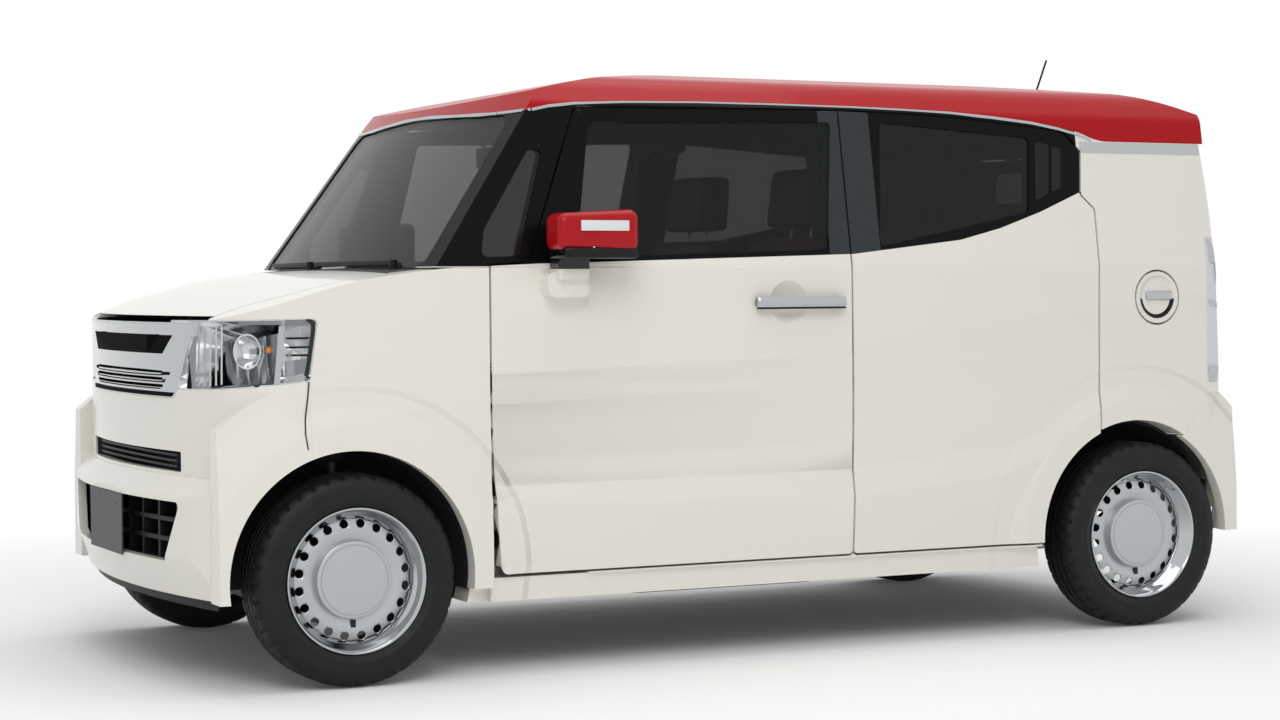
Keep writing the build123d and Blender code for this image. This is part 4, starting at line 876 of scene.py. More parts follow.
TYRE_SEGMENTS = 160
TREAD_PROFILE = [
    (194, 66), (201, 71), (211, 75), (213, 76), (217, 76), (219, 75.5), (230, 77.2), (244, 77), (256, 74),
    (266, 68.5), (273, 61), (277, 51), (278.4, 38), (278.5, 31), (271, 30), (271, 23), (278.5, 22),
    (278.5, 5), (271, 4),
]
SHOULDER_FROM = 264
SHOULDER_TO = 278.5
SHOULDER_IN = 40
SLOT_EVERY = 4
SLOT_EDGE = 0.8
SLOT_DEPTH = 2.2
RING_PROFILE = [
    (192, 58), (193, 66), (190.5, 70), (186.5, 70), (181, 64), (177, 55), (171, 49), (167, 42), (162, 37),
    (161, 34), (168, 38), (175, 47), (184, 56),
]
BARREL_PROFILE = [(190, -66), (170, -66), (168, -40), (168, 30), (190, 34)]
DISC_PROFILE = [
    (167, 31), (163, 27.5), (158, 28.5), (148, 32), (136, 34.5), (124, 33.5), (112, 30), (100, 29), (60, 29),
    (60, 26), (100, 26), (112, 27), (124, 30.5), (136, 31.5), (148, 29), (158, 25.5), (163, 24.5), (167, 28),
]
TRIM_RING_SIDES = 128
BARREL_SIDES = 96
DISC_SIDES = 120
CAP_SIDES = 96
HOLE_SIDES = 24
HOLE_COUNT = 20
HOLE_CIRCLE = 148.5
HOLE_PUNCH = [(11.5, 10), (11.5, 50)]
CAP_PROFILE = [
    (102, 28), (103, 41), (101.5, 44), (98, 45.6), (93.5, 45.2), (92.8, 44), (91, 44), (90.2, 45.4),
    (60, 46.6), (20, 47),
]

# The valve's corners, from the wheel's middle
VALVE_LOW = (-7, 27, -125)
VALVE_HIGH = (7, 36, -105)
VALVE_EDGE = 2


def model_tyre(centre, outward):
    """A tyre with its tread grooves, and slots round both shoulders."""
    profile = TREAD_PROFILE + [(r, -h) for r, h in reversed(TREAD_PROFILE)]
    tyre = turned("tyre", centre, outward, profile, TYRE_SEGMENTS)
    middle = Vector(centre) * MM

    def shoulder_slot(place, _):
        arm = place - middle
        reach = math.hypot(arm.x, arm.z) / MM
        if not SHOULDER_FROM < reach < SHOULDER_TO or abs(arm.y) / MM < SHOULDER_IN:
            return False
        step = (math.atan2(arm.z, arm.x) / (2 * math.pi) * TYRE_SEGMENTS) % SLOT_EVERY
        return step < 1

    pick_faces(tyre, shoulder_slot)
    bpy.ops.mesh.inset(thickness=SLOT_EDGE * MM, depth=-SLOT_DEPTH * MM)
    leave()
    return tyre


def model_disc(centre, outward):
    """The pressed wheel disc with its ring of round holes."""
    disc = turned("wheel_disc", centre, outward, DISC_PROFILE, DISC_SIDES)
    punches = []
    for index in range(HOLE_COUNT):
        angle = 2 * math.pi * (index + 0.5) / HOLE_COUNT
        x = centre[0] + HOLE_CIRCLE * math.cos(angle)
        z = centre[2] + HOLE_CIRCLE * math.sin(angle)
        punches.append(turned("punch", (x, centre[1], z), outward, HOLE_PUNCH, HOLE_SIDES, True))
    clear_selection()
    for punch in punches:
        punch.select_set(True)
    bpy.context.view_layer.objects.active = punches[0]
    bpy.ops.object.join()
    cutter = bpy.context.object
    apply_modifier(disc, "BOOLEAN", operation="DIFFERENCE", object=cutter, solver="EXACT")
    bpy.data.objects.remove(cutter)
    return disc


def model_wheel():
    """The left front wheel's pieces, each with its finish, its slot and the node that it stands for."""
    centre = (FRONT_AXLE_X, WHEEL_Y, TYRE_RADIUS)
    outward = (0, 1, 0)
    tyre = model_tyre(centre, outward)
    ring = turned("trim_ring", centre, outward, RING_PROFILE, TRIM_RING_SIDES)
    barrel = turned("rim_barrel", centre, outward, BARREL_PROFILE, BARREL_SIDES)
    disc = model_disc(centre, outward)
    cap = turned("hub_cap", centre, outward, CAP_PROFILE, CAP_SIDES, True)
    valve_low = tuple(c + step for c, step in zip(centre, VALVE_LOW))
    valve_high = tuple(c + step for c, step in zip(centre, VALVE_HIGH))
    valve = slab("valve_stem", valve_low, valve_high, VALVE_EDGE)
    return [
        (tyre, "tyre", "tyre", "tyre"), (ring, "chrome", "chrome", None),
        (barrel, "silver", "wheel_steel", "wheel"), (disc, "silver", "wheel_steel", None),
        (cap, "silver", "wheel_steel", None), (valve, "seal", "black_plastic", None),
    ]


def add_wheels():
    """Four wheels from one: the rear ones moved back, the right ones mirrored."""
    pieces = model_wheel()
    back = Matrix.Translation(((REAR_AXLE_X - FRONT_AXLE_X) * MM, 0, 0))
    for side, hand in (("left", Matrix.Identity(4)), ("right", MIRROR)):
        for end, move in (("front", Matrix.Identity(4)), ("rear", back)):
            for piece, key, slot_name, node in pieces:
                made = copied(piece, f"{piece.name}_{end}_{side}_look", hand @ move)
                stands_for = [f"{node}_{end}_{side}"] if node else []
                dress(made, FINISH[key], f"{end}_wheel_{side}", slot_name, *stands_for)
    for piece, *_ in pieces:
        bpy.data.objects.remove(piece)


# Seats: side views are (x, z)

CUSHION = [(-150, 470), (-145, 565), (330, 592), (350, 520), (300, 445), (-100, 435)]
BACKREST = [(-120, 480), (-40, 600), (-262, 1180), (-378, 1180), (-245, 500)]
HEADREST = [(-268, 1210), (-292, 1385), (-388, 1385), (-376, 1210)]
REAR_CUSHION = [(-905, 462), (-905, 580), (-540, 592), (-532, 500), (-580, 455)]
REAR_BACK = [(-1000, 655), (-930, 655), (-1030, 1120), (-1120, 1120), (-1085, 655)]
REAR_MIDDLE = [(-1060, 480), (-1060, 690), (-940, 690), (-880, 590), (-880, 480)]
REAR_HEAD = [(-1050, 1140), (-1062, 1290), (-1130, 1290), (-1130, 1140)]
SEAT_INNER_Y = 112
SEAT_OUTER_Y = 560
HEADREST_HALF = 130
SOFT_EDGE = 26
HEADREST_EDGE = 22
BASE_BACK_X = -88
BASE_FRONT_X = 248
BASE_IN = 42
BASE_Z = (232, 440)
BASE_EDGE = 8
STEM_X = -325
STEM_Z = 1165
STEM_SHIFT = 60
STEM_LEAN = (-0.1, 0, 1)
STEM_PROFILE = [(6, 0), (6, 60)]
STEM_SIDES = 16
BENCH_HALF = 552
BENCH_GAP = 4
BENCH_MIDDLE_HALF = 380
REAR_HEAD_Y = (170, 410)
REAR_HEAD_EDGE = 20
BENCH_BASE_LOW = (-968, -378, 232)
BENCH_BASE_HIGH = (-642, 378, 446)

# The piping's turns round a form, its radius, and how far it is sewn in from a front seat's edges
PIPING_STEPS = 65
PIPING_RADIUS = 3.0
PIPING_SUNK = 0.5
PIPING_IN = 92
BENCH_PIPING_Y = (-370, -180, 180, 370)
REAR_BACK_PIPING_Y = (100, 450)

# Added to y in the piping's names, so that none holds a minus sign
PIPING_NAME_SHIFT = 600


def cushion(name, side_view, y0, y1, round_edge=SOFT_EDGE):
    """A padded form: an outline carried across, its edges rounded, its faces crowned."""
    piece = plate(name, [(x, y0, z) for x, z in side_view], (0, y1 - y0, 0))
    take(piece)
    edit()
    bpy.ops.mesh.select_all(action="SELECT")
    bpy.ops.mesh.bevel(offset=round_edge * MM, segments=3, affect="EDGES")
    leave()
    apply_modifier(piece, "SUBSURF", levels=2, render_levels=2)
    take(piece)
    bpy.ops.object.shade_smooth()
    return piece


def sewn_cord(name, points):
    """A round cord through points."""
    curve = bpy.data.curves.new(name, "CURVE")
    curve.dimensions = "3D"
    curve.bevel_depth = PIPING_RADIUS * MM
    curve.bevel_resolution = 1
    line = curve.splines.new("POLY")
    line.points.add(len(points) - 1)
    for spot, place in zip(line.points, points):
        spot.co = (*(Vector(place) * MM), 1.0)
    piece = bpy.data.objects.new(name, curve)
    bpy.context.scene.collection.objects.link(piece)
    take(piece)
    bpy.ops.object.convert(target="MESH")
    bpy.ops.object.shade_smooth()
    return bpy.context.object


def piping(name, piece, side_view, y):
    """A sewn cord round a padded form at one y, laid on its skin."""
    bpy.context.view_layer.update()
    middle_x = sum(x for x, _ in side_view) / len(side_view)
    middle_z = sum(z for _, z in side_view) / len(side_view)
    middle = Vector((middle_x, y, middle_z)) * MM
    points = []
    for step in range(PIPING_STEPS):
        angle = 2 * math.pi * step / (PIPING_STEPS - 1)
        arm = Vector((math.cos(angle), 0, math.sin(angle)))
        hit, place, normal, _ = piece.ray_cast(middle + arm * OUTSIDE_M, -arm)
        if hit:
            points.append(place / MM - normal * PIPING_SUNK)
    seam = sewn_cord(name, points)
    dress(seam, FINISH["piping"], "body", "seat_fabric")


def add_front_seats():
    """Two seats of cushion, back and headrest on stems, each on a plinth."""
    for hand, side in ((1, "left"), (-1, "right")):
        y0, y1 = sorted((hand * SEAT_INNER_Y, hand * SEAT_OUTER_Y))
        middle = (y0 + y1) / 2
        head_low = middle - HEADREST_HALF
        head_high = middle + HEADREST_HALF
        parts = [
            cushion(f"front_cushion_{side}", CUSHION, y0, y1),
            cushion(f"front_backrest_{side}", BACKREST, y0, y1),
            cushion(f"front_headrest_{side}", HEADREST, head_low, head_high, HEADREST_EDGE),
        ]
        for index, part in enumerate(parts):
            nodes = ["front_seats"] if index == 1 and side == "left" else []
            dress(part, FINISH["leather"], "body", "seat_fabric", *nodes)
        for part, outline in zip(parts, (CUSHION, BACKREST)):
            piping(f"{part.name}_seam_inner", part, outline, y0 + PIPING_IN)
            piping(f"{part.name}_seam_outer", part, outline, y1 - PIPING_IN)
        plinth_low = (BASE_BACK_X, y0 + BASE_IN, BASE_Z[0])
        plinth_high = (BASE_FRONT_X, y1 - BASE_IN, BASE_Z[1])
        plinth = slab(f"seat_base_{side}", plinth_low, plinth_high, BASE_EDGE)
        dress(plinth, FINISH["plastic"], "body", "black_plastic")
        for shift in (-STEM_SHIFT, STEM_SHIFT):
            name = f"headrest_stem_{side}_{shift + STEM_SHIFT}"
            stem = turned(name, (STEM_X, middle + shift, STEM_Z), STEM_LEAN, STEM_PROFILE, STEM_SIDES, True)
            dress(stem, FINISH["chrome"], "body", "chrome")


def add_rear_bench():
    """A bench with a split back, a middle hump between the wheel housings, and two headrests."""
    head_in, head_out = REAR_HEAD_Y
    bench = [
        cushion("rear_cushion", REAR_CUSHION, -BENCH_HALF, BENCH_HALF),
        cushion("rear_middle", REAR_MIDDLE, -BENCH_MIDDLE_HALF, BENCH_MIDDLE_HALF),
        cushion("rear_backrest_left", REAR_BACK, BENCH_GAP, BENCH_HALF),
        cushion("rear_backrest_right", REAR_BACK, -BENCH_HALF, -BENCH_GAP),
        cushion("rear_headrest_left", REAR_HEAD, head_in, head_out, REAR_HEAD_EDGE),
        cushion("rear_headrest_right", REAR_HEAD, -head_out, -head_in, REAR_HEAD_EDGE),
    ]
    for index, part in enumerate(bench):
        nodes = ["rear_seat"] if index == 0 else []
        dress(part, FINISH["leather"], "body", "seat_fabric", *nodes)
    lines = [(bench[0], REAR_CUSHION, y) for y in BENCH_PIPING_Y]
    lines += [(bench[2], REAR_BACK, y) for y in REAR_BACK_PIPING_Y]
    lines += [(bench[3], REAR_BACK, -y) for y in REAR_BACK_PIPING_Y]
    for part, outline, y in lines:
        piping(f"{part.name}_seam_{y + PIPING_NAME_SHIFT}", part, outline, y)
    base = slab("rear_seat_base", BENCH_BASE_LOW, BENCH_BASE_HIGH, BASE_EDGE)
    dress(base, FINISH["plastic"], "body", "black_plastic")


# Lamps: pixels are (column, row) of the photograph, on the left lamp

LAMP_SKIN_TILT = 0.3
LAMP_FLAT_TILT = 0.8
LAMP_WALL_M = 0.003
LAMP_SMOOTH_ANGLE = 25
LAMP_AIM = (270, 352)
BEAM_PIXEL = (244, 352)
BEAM_INSET = 42
BEAM_FORWARD = Vector((0.6, 0, 0))
REFLECTOR = [
    (47, 8), (46, 12), (42, 12), (38, 6), (33, -6), (24, -16), (12, -22), (6, -23), (6, -26), (14, -25),
    (28, -18), (37, -6), (43, 6),
]
BULB_BACK = 20
BULB = [(7, 0), (7, 16), (4, 22)]
BULB_SIDES = 24
TURN_PIXEL = (268, 350)
TURN_INSET = 34
TURN_BULB = [(8, 0), (9, 6), (8.5, 16), (5, 21)]
LOUVRE_COLUMNS = (286, 297, 309)
LOUVRE_ROWS = (338.5, 347.5, 355.5)
LOUVRE_HALF = 1
LOUVRE_FALL = 0.2
MARKER_TOP = [(285, 361), (297, 360), (309, 359)]
MARKER_FOOT = [(285, 377), (297, 375), (308, 372)]
HOOD_TOP = [(238, 322), (262, 320.5), (286, 319.5), (309, 320)]
HOOD_FOOT = [(238, 325), (262, 325), (286, 325), (309, 325.5)]
FRAME_TOP = [(279, 326), (285, 326)]
FRAME_FOOT = [(274, 386), (280, 385)]
SEAL_OUTER = [(306, 319), (312, 319.5), (315, 322), (315, 330), (313, 345), (311, 360), (308, 377)]
SEAL_INNER = [(306, 321.5), (309, 322.5), (311, 325), (311, 331), (309, 345), (307, 360), (304, 376)]
FLAT_LIFT = 0.6
FRAME_LIFT = 0.8
SEAL_LIFT = 1.2
RIB_COLUMNS = (186, 192, 198, 204, 210, 216)
RIB_ROWS = (300, 410)
RIB_INSET = 20
RIB_TOP_IN = 5
RIB_FOOT_IN = 4
RIB_SECTION = [(-2, -2, 0), (2, -2, 0), (2, 2, 0), (-2, 2, 0)]


def split_lamp(node, lens_finish, bowl_finish, slot_name):
    """The lamp unit as a thin clear lens over an open bowl, both from the unit's own walls."""
    lens = merged_copy(node, node + "_lens")
    bowl = merged_copy(node, node + "_bowl")

    def outer(place, normal):
        side = 1 if place.y > 0 else -1
        outwards = normal.x > LAMP_SKIN_TILT or normal.y * side > LAMP_SKIN_TILT
        return outwards and abs(normal.z) < LAMP_FLAT_TILT

    for piece, wanted in ((lens, False), (bowl, True)):
        take(piece)
        pick_faces(piece, lambda place, normal: outer(place, normal) == wanted)
        bpy.ops.mesh.delete(type="FACE")
        leave()
        apply_modifier(piece, "SOLIDIFY", thickness=LAMP_WALL_M, offset=-1.0)
        smooth(LAMP_SMOOTH_ANGLE)
    dress(lens, FINISH[lens_finish], "body", slot_name, node)
    dress(bowl, FINISH[bowl_finish], "body", slot_name)


def add_bulbs():
    """The round reflector with its bright bulb, and the amber bulb beside it."""
    hit, normal = seen("headlamps", *BEAM_PIXEL, BEAM_INSET)
    axis = normal + BEAM_FORWARD
    axis.z = 0
    axis.normalize()
    on_both_sides(turned("lamp_reflector", hit, axis, REFLECTOR, ROUND_SIDES), "bowl", "chrome")
    bulb = turned("lamp_bulb", hit - axis * BULB_BACK, axis, BULB, BULB_SIDES, True)
    on_both_sides(bulb, "chrome", "chrome")
    hit, normal = seen("headlamps", *TURN_PIXEL, TURN_INSET)
    amber = turned("turn_bulb", hit, (normal.x, normal.y, 0), TURN_BULB, BULB_SIDES, True)
    on_both_sides(amber, "amber", "lamp_clear")


def lamp_ribbon(name, upper, lower, lift, finish, slot_name):
    """A strip on the left lamp's skin, and its mirror image."""
    strip = ribbon(name, "headlamps", upper, lower, LAMP_AIM, lift)
    on_both_sides(strip, finish, slot_name)


def add_lamp_trim():
    """Louvres, marker block, hood, bright outer frame and rubber seal, laid on the lamp's skin."""
    for index, row in enumerate(LOUVRE_ROWS):
        rows = [row - LOUVRE_FALL * step for step in range(len(LOUVRE_COLUMNS))]
        upper = [(column, middle - LOUVRE_HALF) for column, middle in zip(LOUVRE_COLUMNS, rows)]
        lower = [(column, middle + LOUVRE_HALF) for column, middle in zip(LOUVRE_COLUMNS, rows)]
        lamp_ribbon(f"lamp_louvre_{index}", upper, lower, FLAT_LIFT, "gloss_black", "black_plastic")
    lamp_ribbon("lamp_marker", MARKER_TOP, MARKER_FOOT, FLAT_LIFT, "marker_grey", "black_plastic")
    lamp_ribbon("lamp_hood", HOOD_TOP, HOOD_FOOT, FLAT_LIFT, "marker_grey", "black_plastic")
    lamp_ribbon("lamp_outer_frame", FRAME_TOP, FRAME_FOOT, FRAME_LIFT, "chrome", "chrome")
    lamp_ribbon("lamp_seal", SEAL_OUTER, SEAL_INNER, SEAL_LIFT, "seal", "black_plastic")


def add_headlamps():
    """Both headlamps: bulbs, trim, upright ribs at the inner end, and the lens over its bowl."""
    add_bulbs()
    add_lamp_trim()
    for index, column in enumerate(RIB_COLUMNS):
        high, low = seen_rows("headlamps", column, *RIB_ROWS)
        top = seen("headlamps", column, high + RIB_TOP_IN, RIB_INSET)[0]
        foot = seen("headlamps", column, low - RIB_FOOT_IN, RIB_INSET)[0]
        on_both_sides(drawn(f"lamp_rib_{index}", [foot, top], RIB_SECTION), "bowl", "chrome")
    split_lamp("headlamps", "lens", "bowl", "lamp_clear")


# Trim on the sides: lines are (x, z), sections are offsets from a line's points

ROOF_SIDE = ["roof", "body_sides"]
SIDE_SKINS = ["roof", "body_sides", "door_front_left", "door_rear_left"]
DRIP_LINE = [(690, 1518), (640, 1529), (564, 1538), (400, 1545), (174, 1550), (-74, 1550.5), (-324, 1549)]
DRIP_LINE += [(-500, 1545.5), (-655, 1541), (-800, 1531), (-938, 1518), (-1030, 1503), (-1102, 1487)]
DRIP_LINE += [(-1150, 1471)]
DRIP_RISE = 4
DRIP_OUT = 1.0
DRIP_SECTION = [(0, -4, -5), (0, 2.5, -4), (0, 4, 0), (0, 2.5, 4), (0, -4, 5)]
SCREEN_PIXELS = [(366, 134), (374, 131), (385, 127.6), (397, 123.8), (409, 120.6), (430, 118.2), (455, 116.4)]
SCREEN_PIXELS += [(480, 115.3), (503, 114.4), (516, 112.6), (526, 110.8)]
SCREEN_AIM = (560, 95)
SCREEN_SECTION = [(-3, 0, -4), (4, 0, -4), (4, 0, 3), (-3, 0, 3)]
DOOR_SEAL_SECTION = [(0, -20, -6), (0, -11, -6), (0, -11, 6), (0, -20, 6)]
DOOR_GAP_SEARCH = range(-2, 34)
BAND_XS = [-1106, -1180, -1240, -1300, -1360, -1420, -1480, -1532, -1545, -1552]
BAND_Z = 1447
BAND_SECTION = [(0, -1, -14), (0, 4.2, -14), (0, 2.4, 0), (0, -1.2, 18), (0, -6, 18)]


def add_side_trim():
    """Bright mouldings under the roof and over the windscreen, door seals, and the quarter's satin band."""
    points = [(x, side_y(x, z + DRIP_RISE, ROOF_SIDE) + DRIP_OUT, z) for x, z in DRIP_LINE]
    on_both_sides(drawn("roof_moulding", points, DRIP_SECTION), "chrome", "chrome")
    points = [near("roof", column, row, SCREEN_AIM, DRIP_OUT) for column, row in SCREEN_PIXELS]
    on_both_sides(drawn("screen_moulding", points, SCREEN_SECTION), "chrome", "chrome")
    points = []
    for x, z in DRIP_LINE[2:]:
        open_z = [z - drop for drop in DOOR_GAP_SEARCH if side_y(x, z - drop, SIDE_SKINS) is None]
        if open_z:
            points.append((x, side_y(x, z + DRIP_RISE, ROOF_SIDE), sum(open_z) / len(open_z)))
    on_both_sides(drawn("door_top_seal", points, DOOR_SEAL_SECTION), "seal", "black_plastic")
    points = [(x, side_y(x, BAND_Z, ["body_sides"]), BAND_Z) for x in BAND_XS]
    on_both_sides(drawn("quarter_band", points, BAND_SECTION), "satin", "chrome")


# Fuel lid

FUEL_X = -1346
FUEL_Z = 996
FUEL_SKIN_Z = 1068
LID_CUT_RADIUS = 62
LID_CUT = (-4, 20)
LID_RING_OUT = -3
LID_DISH_OUT = 2.5
CUT_SMOOTH_ANGLE = 30
LID_RING = [(60, -2), (66, -2), (66.5, 2), (64, 3.6), (61, 2)]
LID_DISH = [(63, -1), (60, -4), (50, -7), (0.6, -8), (0.6, -9.4), (52, -8.6), (63, -5)]
LID_GRIP_LOW = (-56, -5, -8)
LID_GRIP_HIGH = (40, 3, 18)
LID_GRIP_EDGE = 4


def add_fuel_grip():
    """A dished lid with a half-round dark hollow and a bright grip."""
    out = side_y(FUEL_X, FUEL_SKIN_Z, ["fuel_lid"])
    lid = merged_copy("fuel_lid", "fuel_lid_cut")
    cut_from, cut_to = (out + step for step in LID_CUT)
    cut_round(lid, FUEL_X, FUEL_Z, LID_CUT_RADIUS, cut_from, cut_to)
    take(lid)
    smooth(CUT_SMOOTH_ANGLE)
    dress(lid, FINISH["ivory"], "fuel_lid", "body_paint", "fuel_lid")
    ring = turned("lid_ring", (FUEL_X, out + LID_RING_OUT, FUEL_Z), (0, 1, 0), LID_RING, ROUND_SIDES)
    dress(ring, FINISH["satin"], "fuel_lid", "chrome")
    dish = turned("lid_dish", (FUEL_X, out + LID_DISH_OUT, FUEL_Z), (0, 1, 0), LID_DISH, ROUND_SIDES)
    dress(dish, FINISH["lid_dish"], "fuel_lid", "black_plastic")
    middle = (FUEL_X, out, FUEL_Z)
    low = tuple(c + step for c, step in zip(middle, LID_GRIP_LOW))
    high = tuple(c + step for c, step in zip(middle, LID_GRIP_HIGH))
    grip = slab("lid_grip", low, high, LID_GRIP_EDGE, 3)
    dress(grip, FINISH["chrome"], "fuel_lid", "chrome")


# Nose: heights on the grille are shares of its height, measured down from its top

NOSE_STRIP_STEPS = 40
NOSE_START_M = 3.0
NOSE_MIDDLE_X = 1600
OPENING_HALF = (325, 392)
OPENING_SHARES = (0.42, 0.17)
OPENING_LIFT = 2.0
BAR_SHARES = (0.66, 0.75, 0.84)
BAR_TALL = 0.04
BAR_HALF = 372
BAR_TAPER = 30
BAR_SPREAD = 4
LIP_HALF = (380, 396)
LIP_FOOT = 3
LIP_SHARE = 0.07
LIP_LIFT = 4.0
BAR_LIFT = 1.5
NOSE_STRIP_THICKNESS = 3.0
# Place and size of the dark sheet of painted shade behind the grille's opening
SHADE_SHEET_X = 1590
SHADE_SHEET_DEPTH = -8
SHADE_SHEET_FOOT = (470, 765)
SHADE_SHEET_TOP = (500, 935)
# Corners of the dark box of painted shade behind the air slot's bars
AIR_SLOT_LOW = (1598, -432, 552)
AIR_SLOT_HIGH = (1606, 432, 618)
AIR_BAR_ZS = (570, 585, 600)
AIR_BAR_LINE = [(1594, -430), (1606, -340), (1612, -200), (1615, 0), (1612, 200), (1606, 340), (1594, 430)]
AIR_BAR_SECTION = [(-6, 0, -3), (6, 0, -3), (6, 0, 3), (-6, 0, 3)]
# Pixels of the dark strip of painted shade in the gap between the front bumper and the left wing
SEAM_PIXELS = [(310.5, 381), (308, 400), (305.8, 420), (306.2, 435), (309, 450)]
SEAM_WIDTH = 1.3
SEAM_AIM = (270, 415)
SEAM_LIFT = 1.6


def nose_x(y, z, otherwise):
    """The grille's skin straight ahead of y and z."""
    start = Vector((NOSE_START_M, y * MM, z * MM))
    hit, place, _, _ = NODES["grille"].ray_cast(start, Vector((-1, 0, 0)))
    return place.x / MM if hit else otherwise


def nose_strip(name, half_widths, heights, lift):
    """A strip across the grille between two heights, as wide as its half widths, following the skin."""
    clear_selection()
    bpy.ops.mesh.primitive_grid_add(x_subdivisions=NOSE_STRIP_STEPS, y_subdivisions=1, size=1)
    piece = bpy.context.object
    middle_x = nose_x(0, heights[0], NOSE_MIDDLE_X)
    for vertex in piece.data.vertices:
        edge = 1 if vertex.co.y > 0 else 0
        y = vertex.co.x * 2 * half_widths[edge]
        z = heights[edge]
        vertex.co = Vector((nose_x(y, z, middle_x) + lift, y, z)) * MM
    apply_modifier(piece, "SOLIDIFY", thickness=NOSE_STRIP_THICKNESS * MM, offset=-1.0)
    dress(settled(name), FINISH["shaded"], "body", "black_plastic")


def add_grille_parts():
    """A dark strip as painted shade in the grille's opening, its bars and lower lip in black plastic darkened
    by painted shade, and dark sheets as painted shade behind the nose's openings.
    """
    low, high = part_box("grille")
    foot, head = low[2] / MM, high[2] / MM
    tall = head - foot
    # The slot strip is a dark sheet laid over the grille's opening, as painted shade
    nose_strip("grille_slot", OPENING_HALF, [head - tall * share for share in OPENING_SHARES], OPENING_LIFT)
    for index, share in enumerate(BAR_SHARES):
        half = BAR_HALF - BAR_TAPER * index
        heights = (head - tall * (share + BAR_TALL), head - tall * share)
        nose_strip(f"grille_bar_{index}", (half, half + BAR_SPREAD), heights, BAR_LIFT)
    nose_strip("grille_lip", LIP_HALF, (foot + LIP_FOOT, foot + tall * LIP_SHARE), LIP_LIFT)
    # The two backing sheets stand in for the shade behind the nose's openings: painted shade
    (foot_y, foot_z), (top_y, top_z) = SHADE_SHEET_FOOT, SHADE_SHEET_TOP
    edges = [(-foot_y, foot_z), (foot_y, foot_z), (top_y, top_z), (-top_y, top_z)]
    back = plate("grille_backing", [(SHADE_SHEET_X, y, z) for y, z in edges], (SHADE_SHEET_DEPTH, 0, 0))
    dress(back, FINISH["shaded"], "body", "black_plastic")
    slot_shade_sheet = slab("air_slot_backing", AIR_SLOT_LOW, AIR_SLOT_HIGH)
    dress(slot_shade_sheet, FINISH["shaded"], "body", "black_plastic")
    for index, z in enumerate(AIR_BAR_ZS):
        bar = drawn(f"air_slot_bar_{index}", [(x, y, z) for x, y in AIR_BAR_LINE], AIR_BAR_SECTION)
        dress(bar, FINISH["plastic"], "body", "black_plastic")


def add_bumper_gap_shade():
    """A dark strip in the rubber finish, laid over the gap between the front bumper and each wing as painted
    shade in the gap.
    """
    other = [(column - SEAM_WIDTH, row) for column, row in SEAM_PIXELS]
    seam = ribbon("bumper_gap_shade", "front_bumper", SEAM_PIXELS, other, SEAM_AIM, SEAM_LIFT)
    on_both_sides(seam, "seal", "black_plastic")


# Door handles: points on the bar are (x, rise out from the skin)

HANDLE_X = -62
HANDLE_Z = 992
HANDLE_SKIN_Z = 922
DISH_RADIUS = 60
DISH_CUT = (-26, 20)
DISH = [(60.5, -1), (58, -3), (50, -11), (36, -18), (18, -21), (0.6, -22), (0.6, -23.4), (36, -20), (52, -13)]
DISH += [(60.5, -4)]
GRIP_LINE = [(48, 18), (30, 26), (-90, 30), (-210, 28), (-233, 22)]
GRIP_SECTION = [(0, -8, -15), (0, 3, -15), (0, 8, -6), (0, 8, 6), (0, 3, 15), (0, -8, 15)]
UNDER_SECTION = [(0, -6, -19), (0, 3, -19), (0, 5, -15), (0, -6, -15)]
FOOT_XS = (34, -222)
FOOT_HALF_X = 11
FOOT_HALF_Z = 10
FOOT_OUT = (-4, 14)
FOOT_EDGE = 3


def add_handles():
    """A round dish behind each front handle, and the bar with its dark underside and two feet."""
    out = side_y(HANDLE_X, HANDLE_SKIN_Z, ["door_front_left"])
    cut_from, cut_to = (out + step for step in DISH_CUT)
    for side, hand in (("left", 1), ("right", -1)):
        node = f"door_front_{side}"
        door = merged_copy(node, node + "_cut")
        cut_round(door, HANDLE_X, HANDLE_Z, DISH_RADIUS, hand * cut_from, hand * cut_to)
        take(door)
        smooth(CUT_SMOOTH_ANGLE)
        dress(door, FINISH["door"], f"front_door_{side}", "body_paint", node)
    dish = turned("handle_dish", (HANDLE_X, out, HANDLE_Z), (0, 1, 0), DISH, ROUND_SIDES)
    on_both_sides(dish, "ivory", "body_paint", "front_door")
    points = [(x, out + rise, HANDLE_Z) for x, rise in GRIP_LINE]
    grip = drawn("handle_grip", points, GRIP_SECTION)
    on_both_sides(grip, "chrome", "chrome", "front_door", "handle")
    under = drawn("handle_under", points, UNDER_SECTION)
    on_both_sides(under, "gloss_black", "black_plastic", "front_door")
    for index, x in enumerate(FOOT_XS):
        low = (x - FOOT_HALF_X, out + FOOT_OUT[0], HANDLE_Z - FOOT_HALF_Z)
        high = (x + FOOT_HALF_X, out + FOOT_OUT[1], HANDLE_Z + FOOT_HALF_Z)
        foot = slab(f"handle_foot_{index}", low, high, FOOT_EDGE)
        on_both_sides(foot, "gloss_black", "black_plastic", "front_door")


# Mirrors

# The cap and tray lie inside the housing's box by these rear, front and outer margins
TRAY_SHARE = 0.13
CAP_IN = (4, 34)
CAP_OUT_IN = 3
CAP_EDGE = 27
CAP_EDGE_STEPS = 6
CAP_FRONT_FACES = 70
CAP_NARROW_Z = 50
TRAY_IN = (8, 48)
TRAY_SIDES_IN = (6, 8)
TRAY_OVERLAP = 12
TRAY_EDGE = 9
TRAY_EDGE_STEPS = 4
TURN_LENS_EDGE = 2
CAP_NARROWING = (1, 0.84, 0.88)
CAP_SMOOTH_ANGLE = 40
TURN_LENS_X = (40, 180)
TURN_LENS_OUT = (9, 1)
TURN_LENS_DOWN = (58, 30)
INSIDE_MIRROR_LOW = (520, -115, 1392)
INSIDE_MIRROR_HIGH = (536, 115, 1452)
INSIDE_MIRROR_EDGE = 7
INSIDE_STALK = [(536, 0, 1430), (590, 0, 1486)]
INSIDE_STALK_SECTION = [(-4, -6, 0), (4, -6, 0), (4, 6, 0), (-4, 6, 0)]


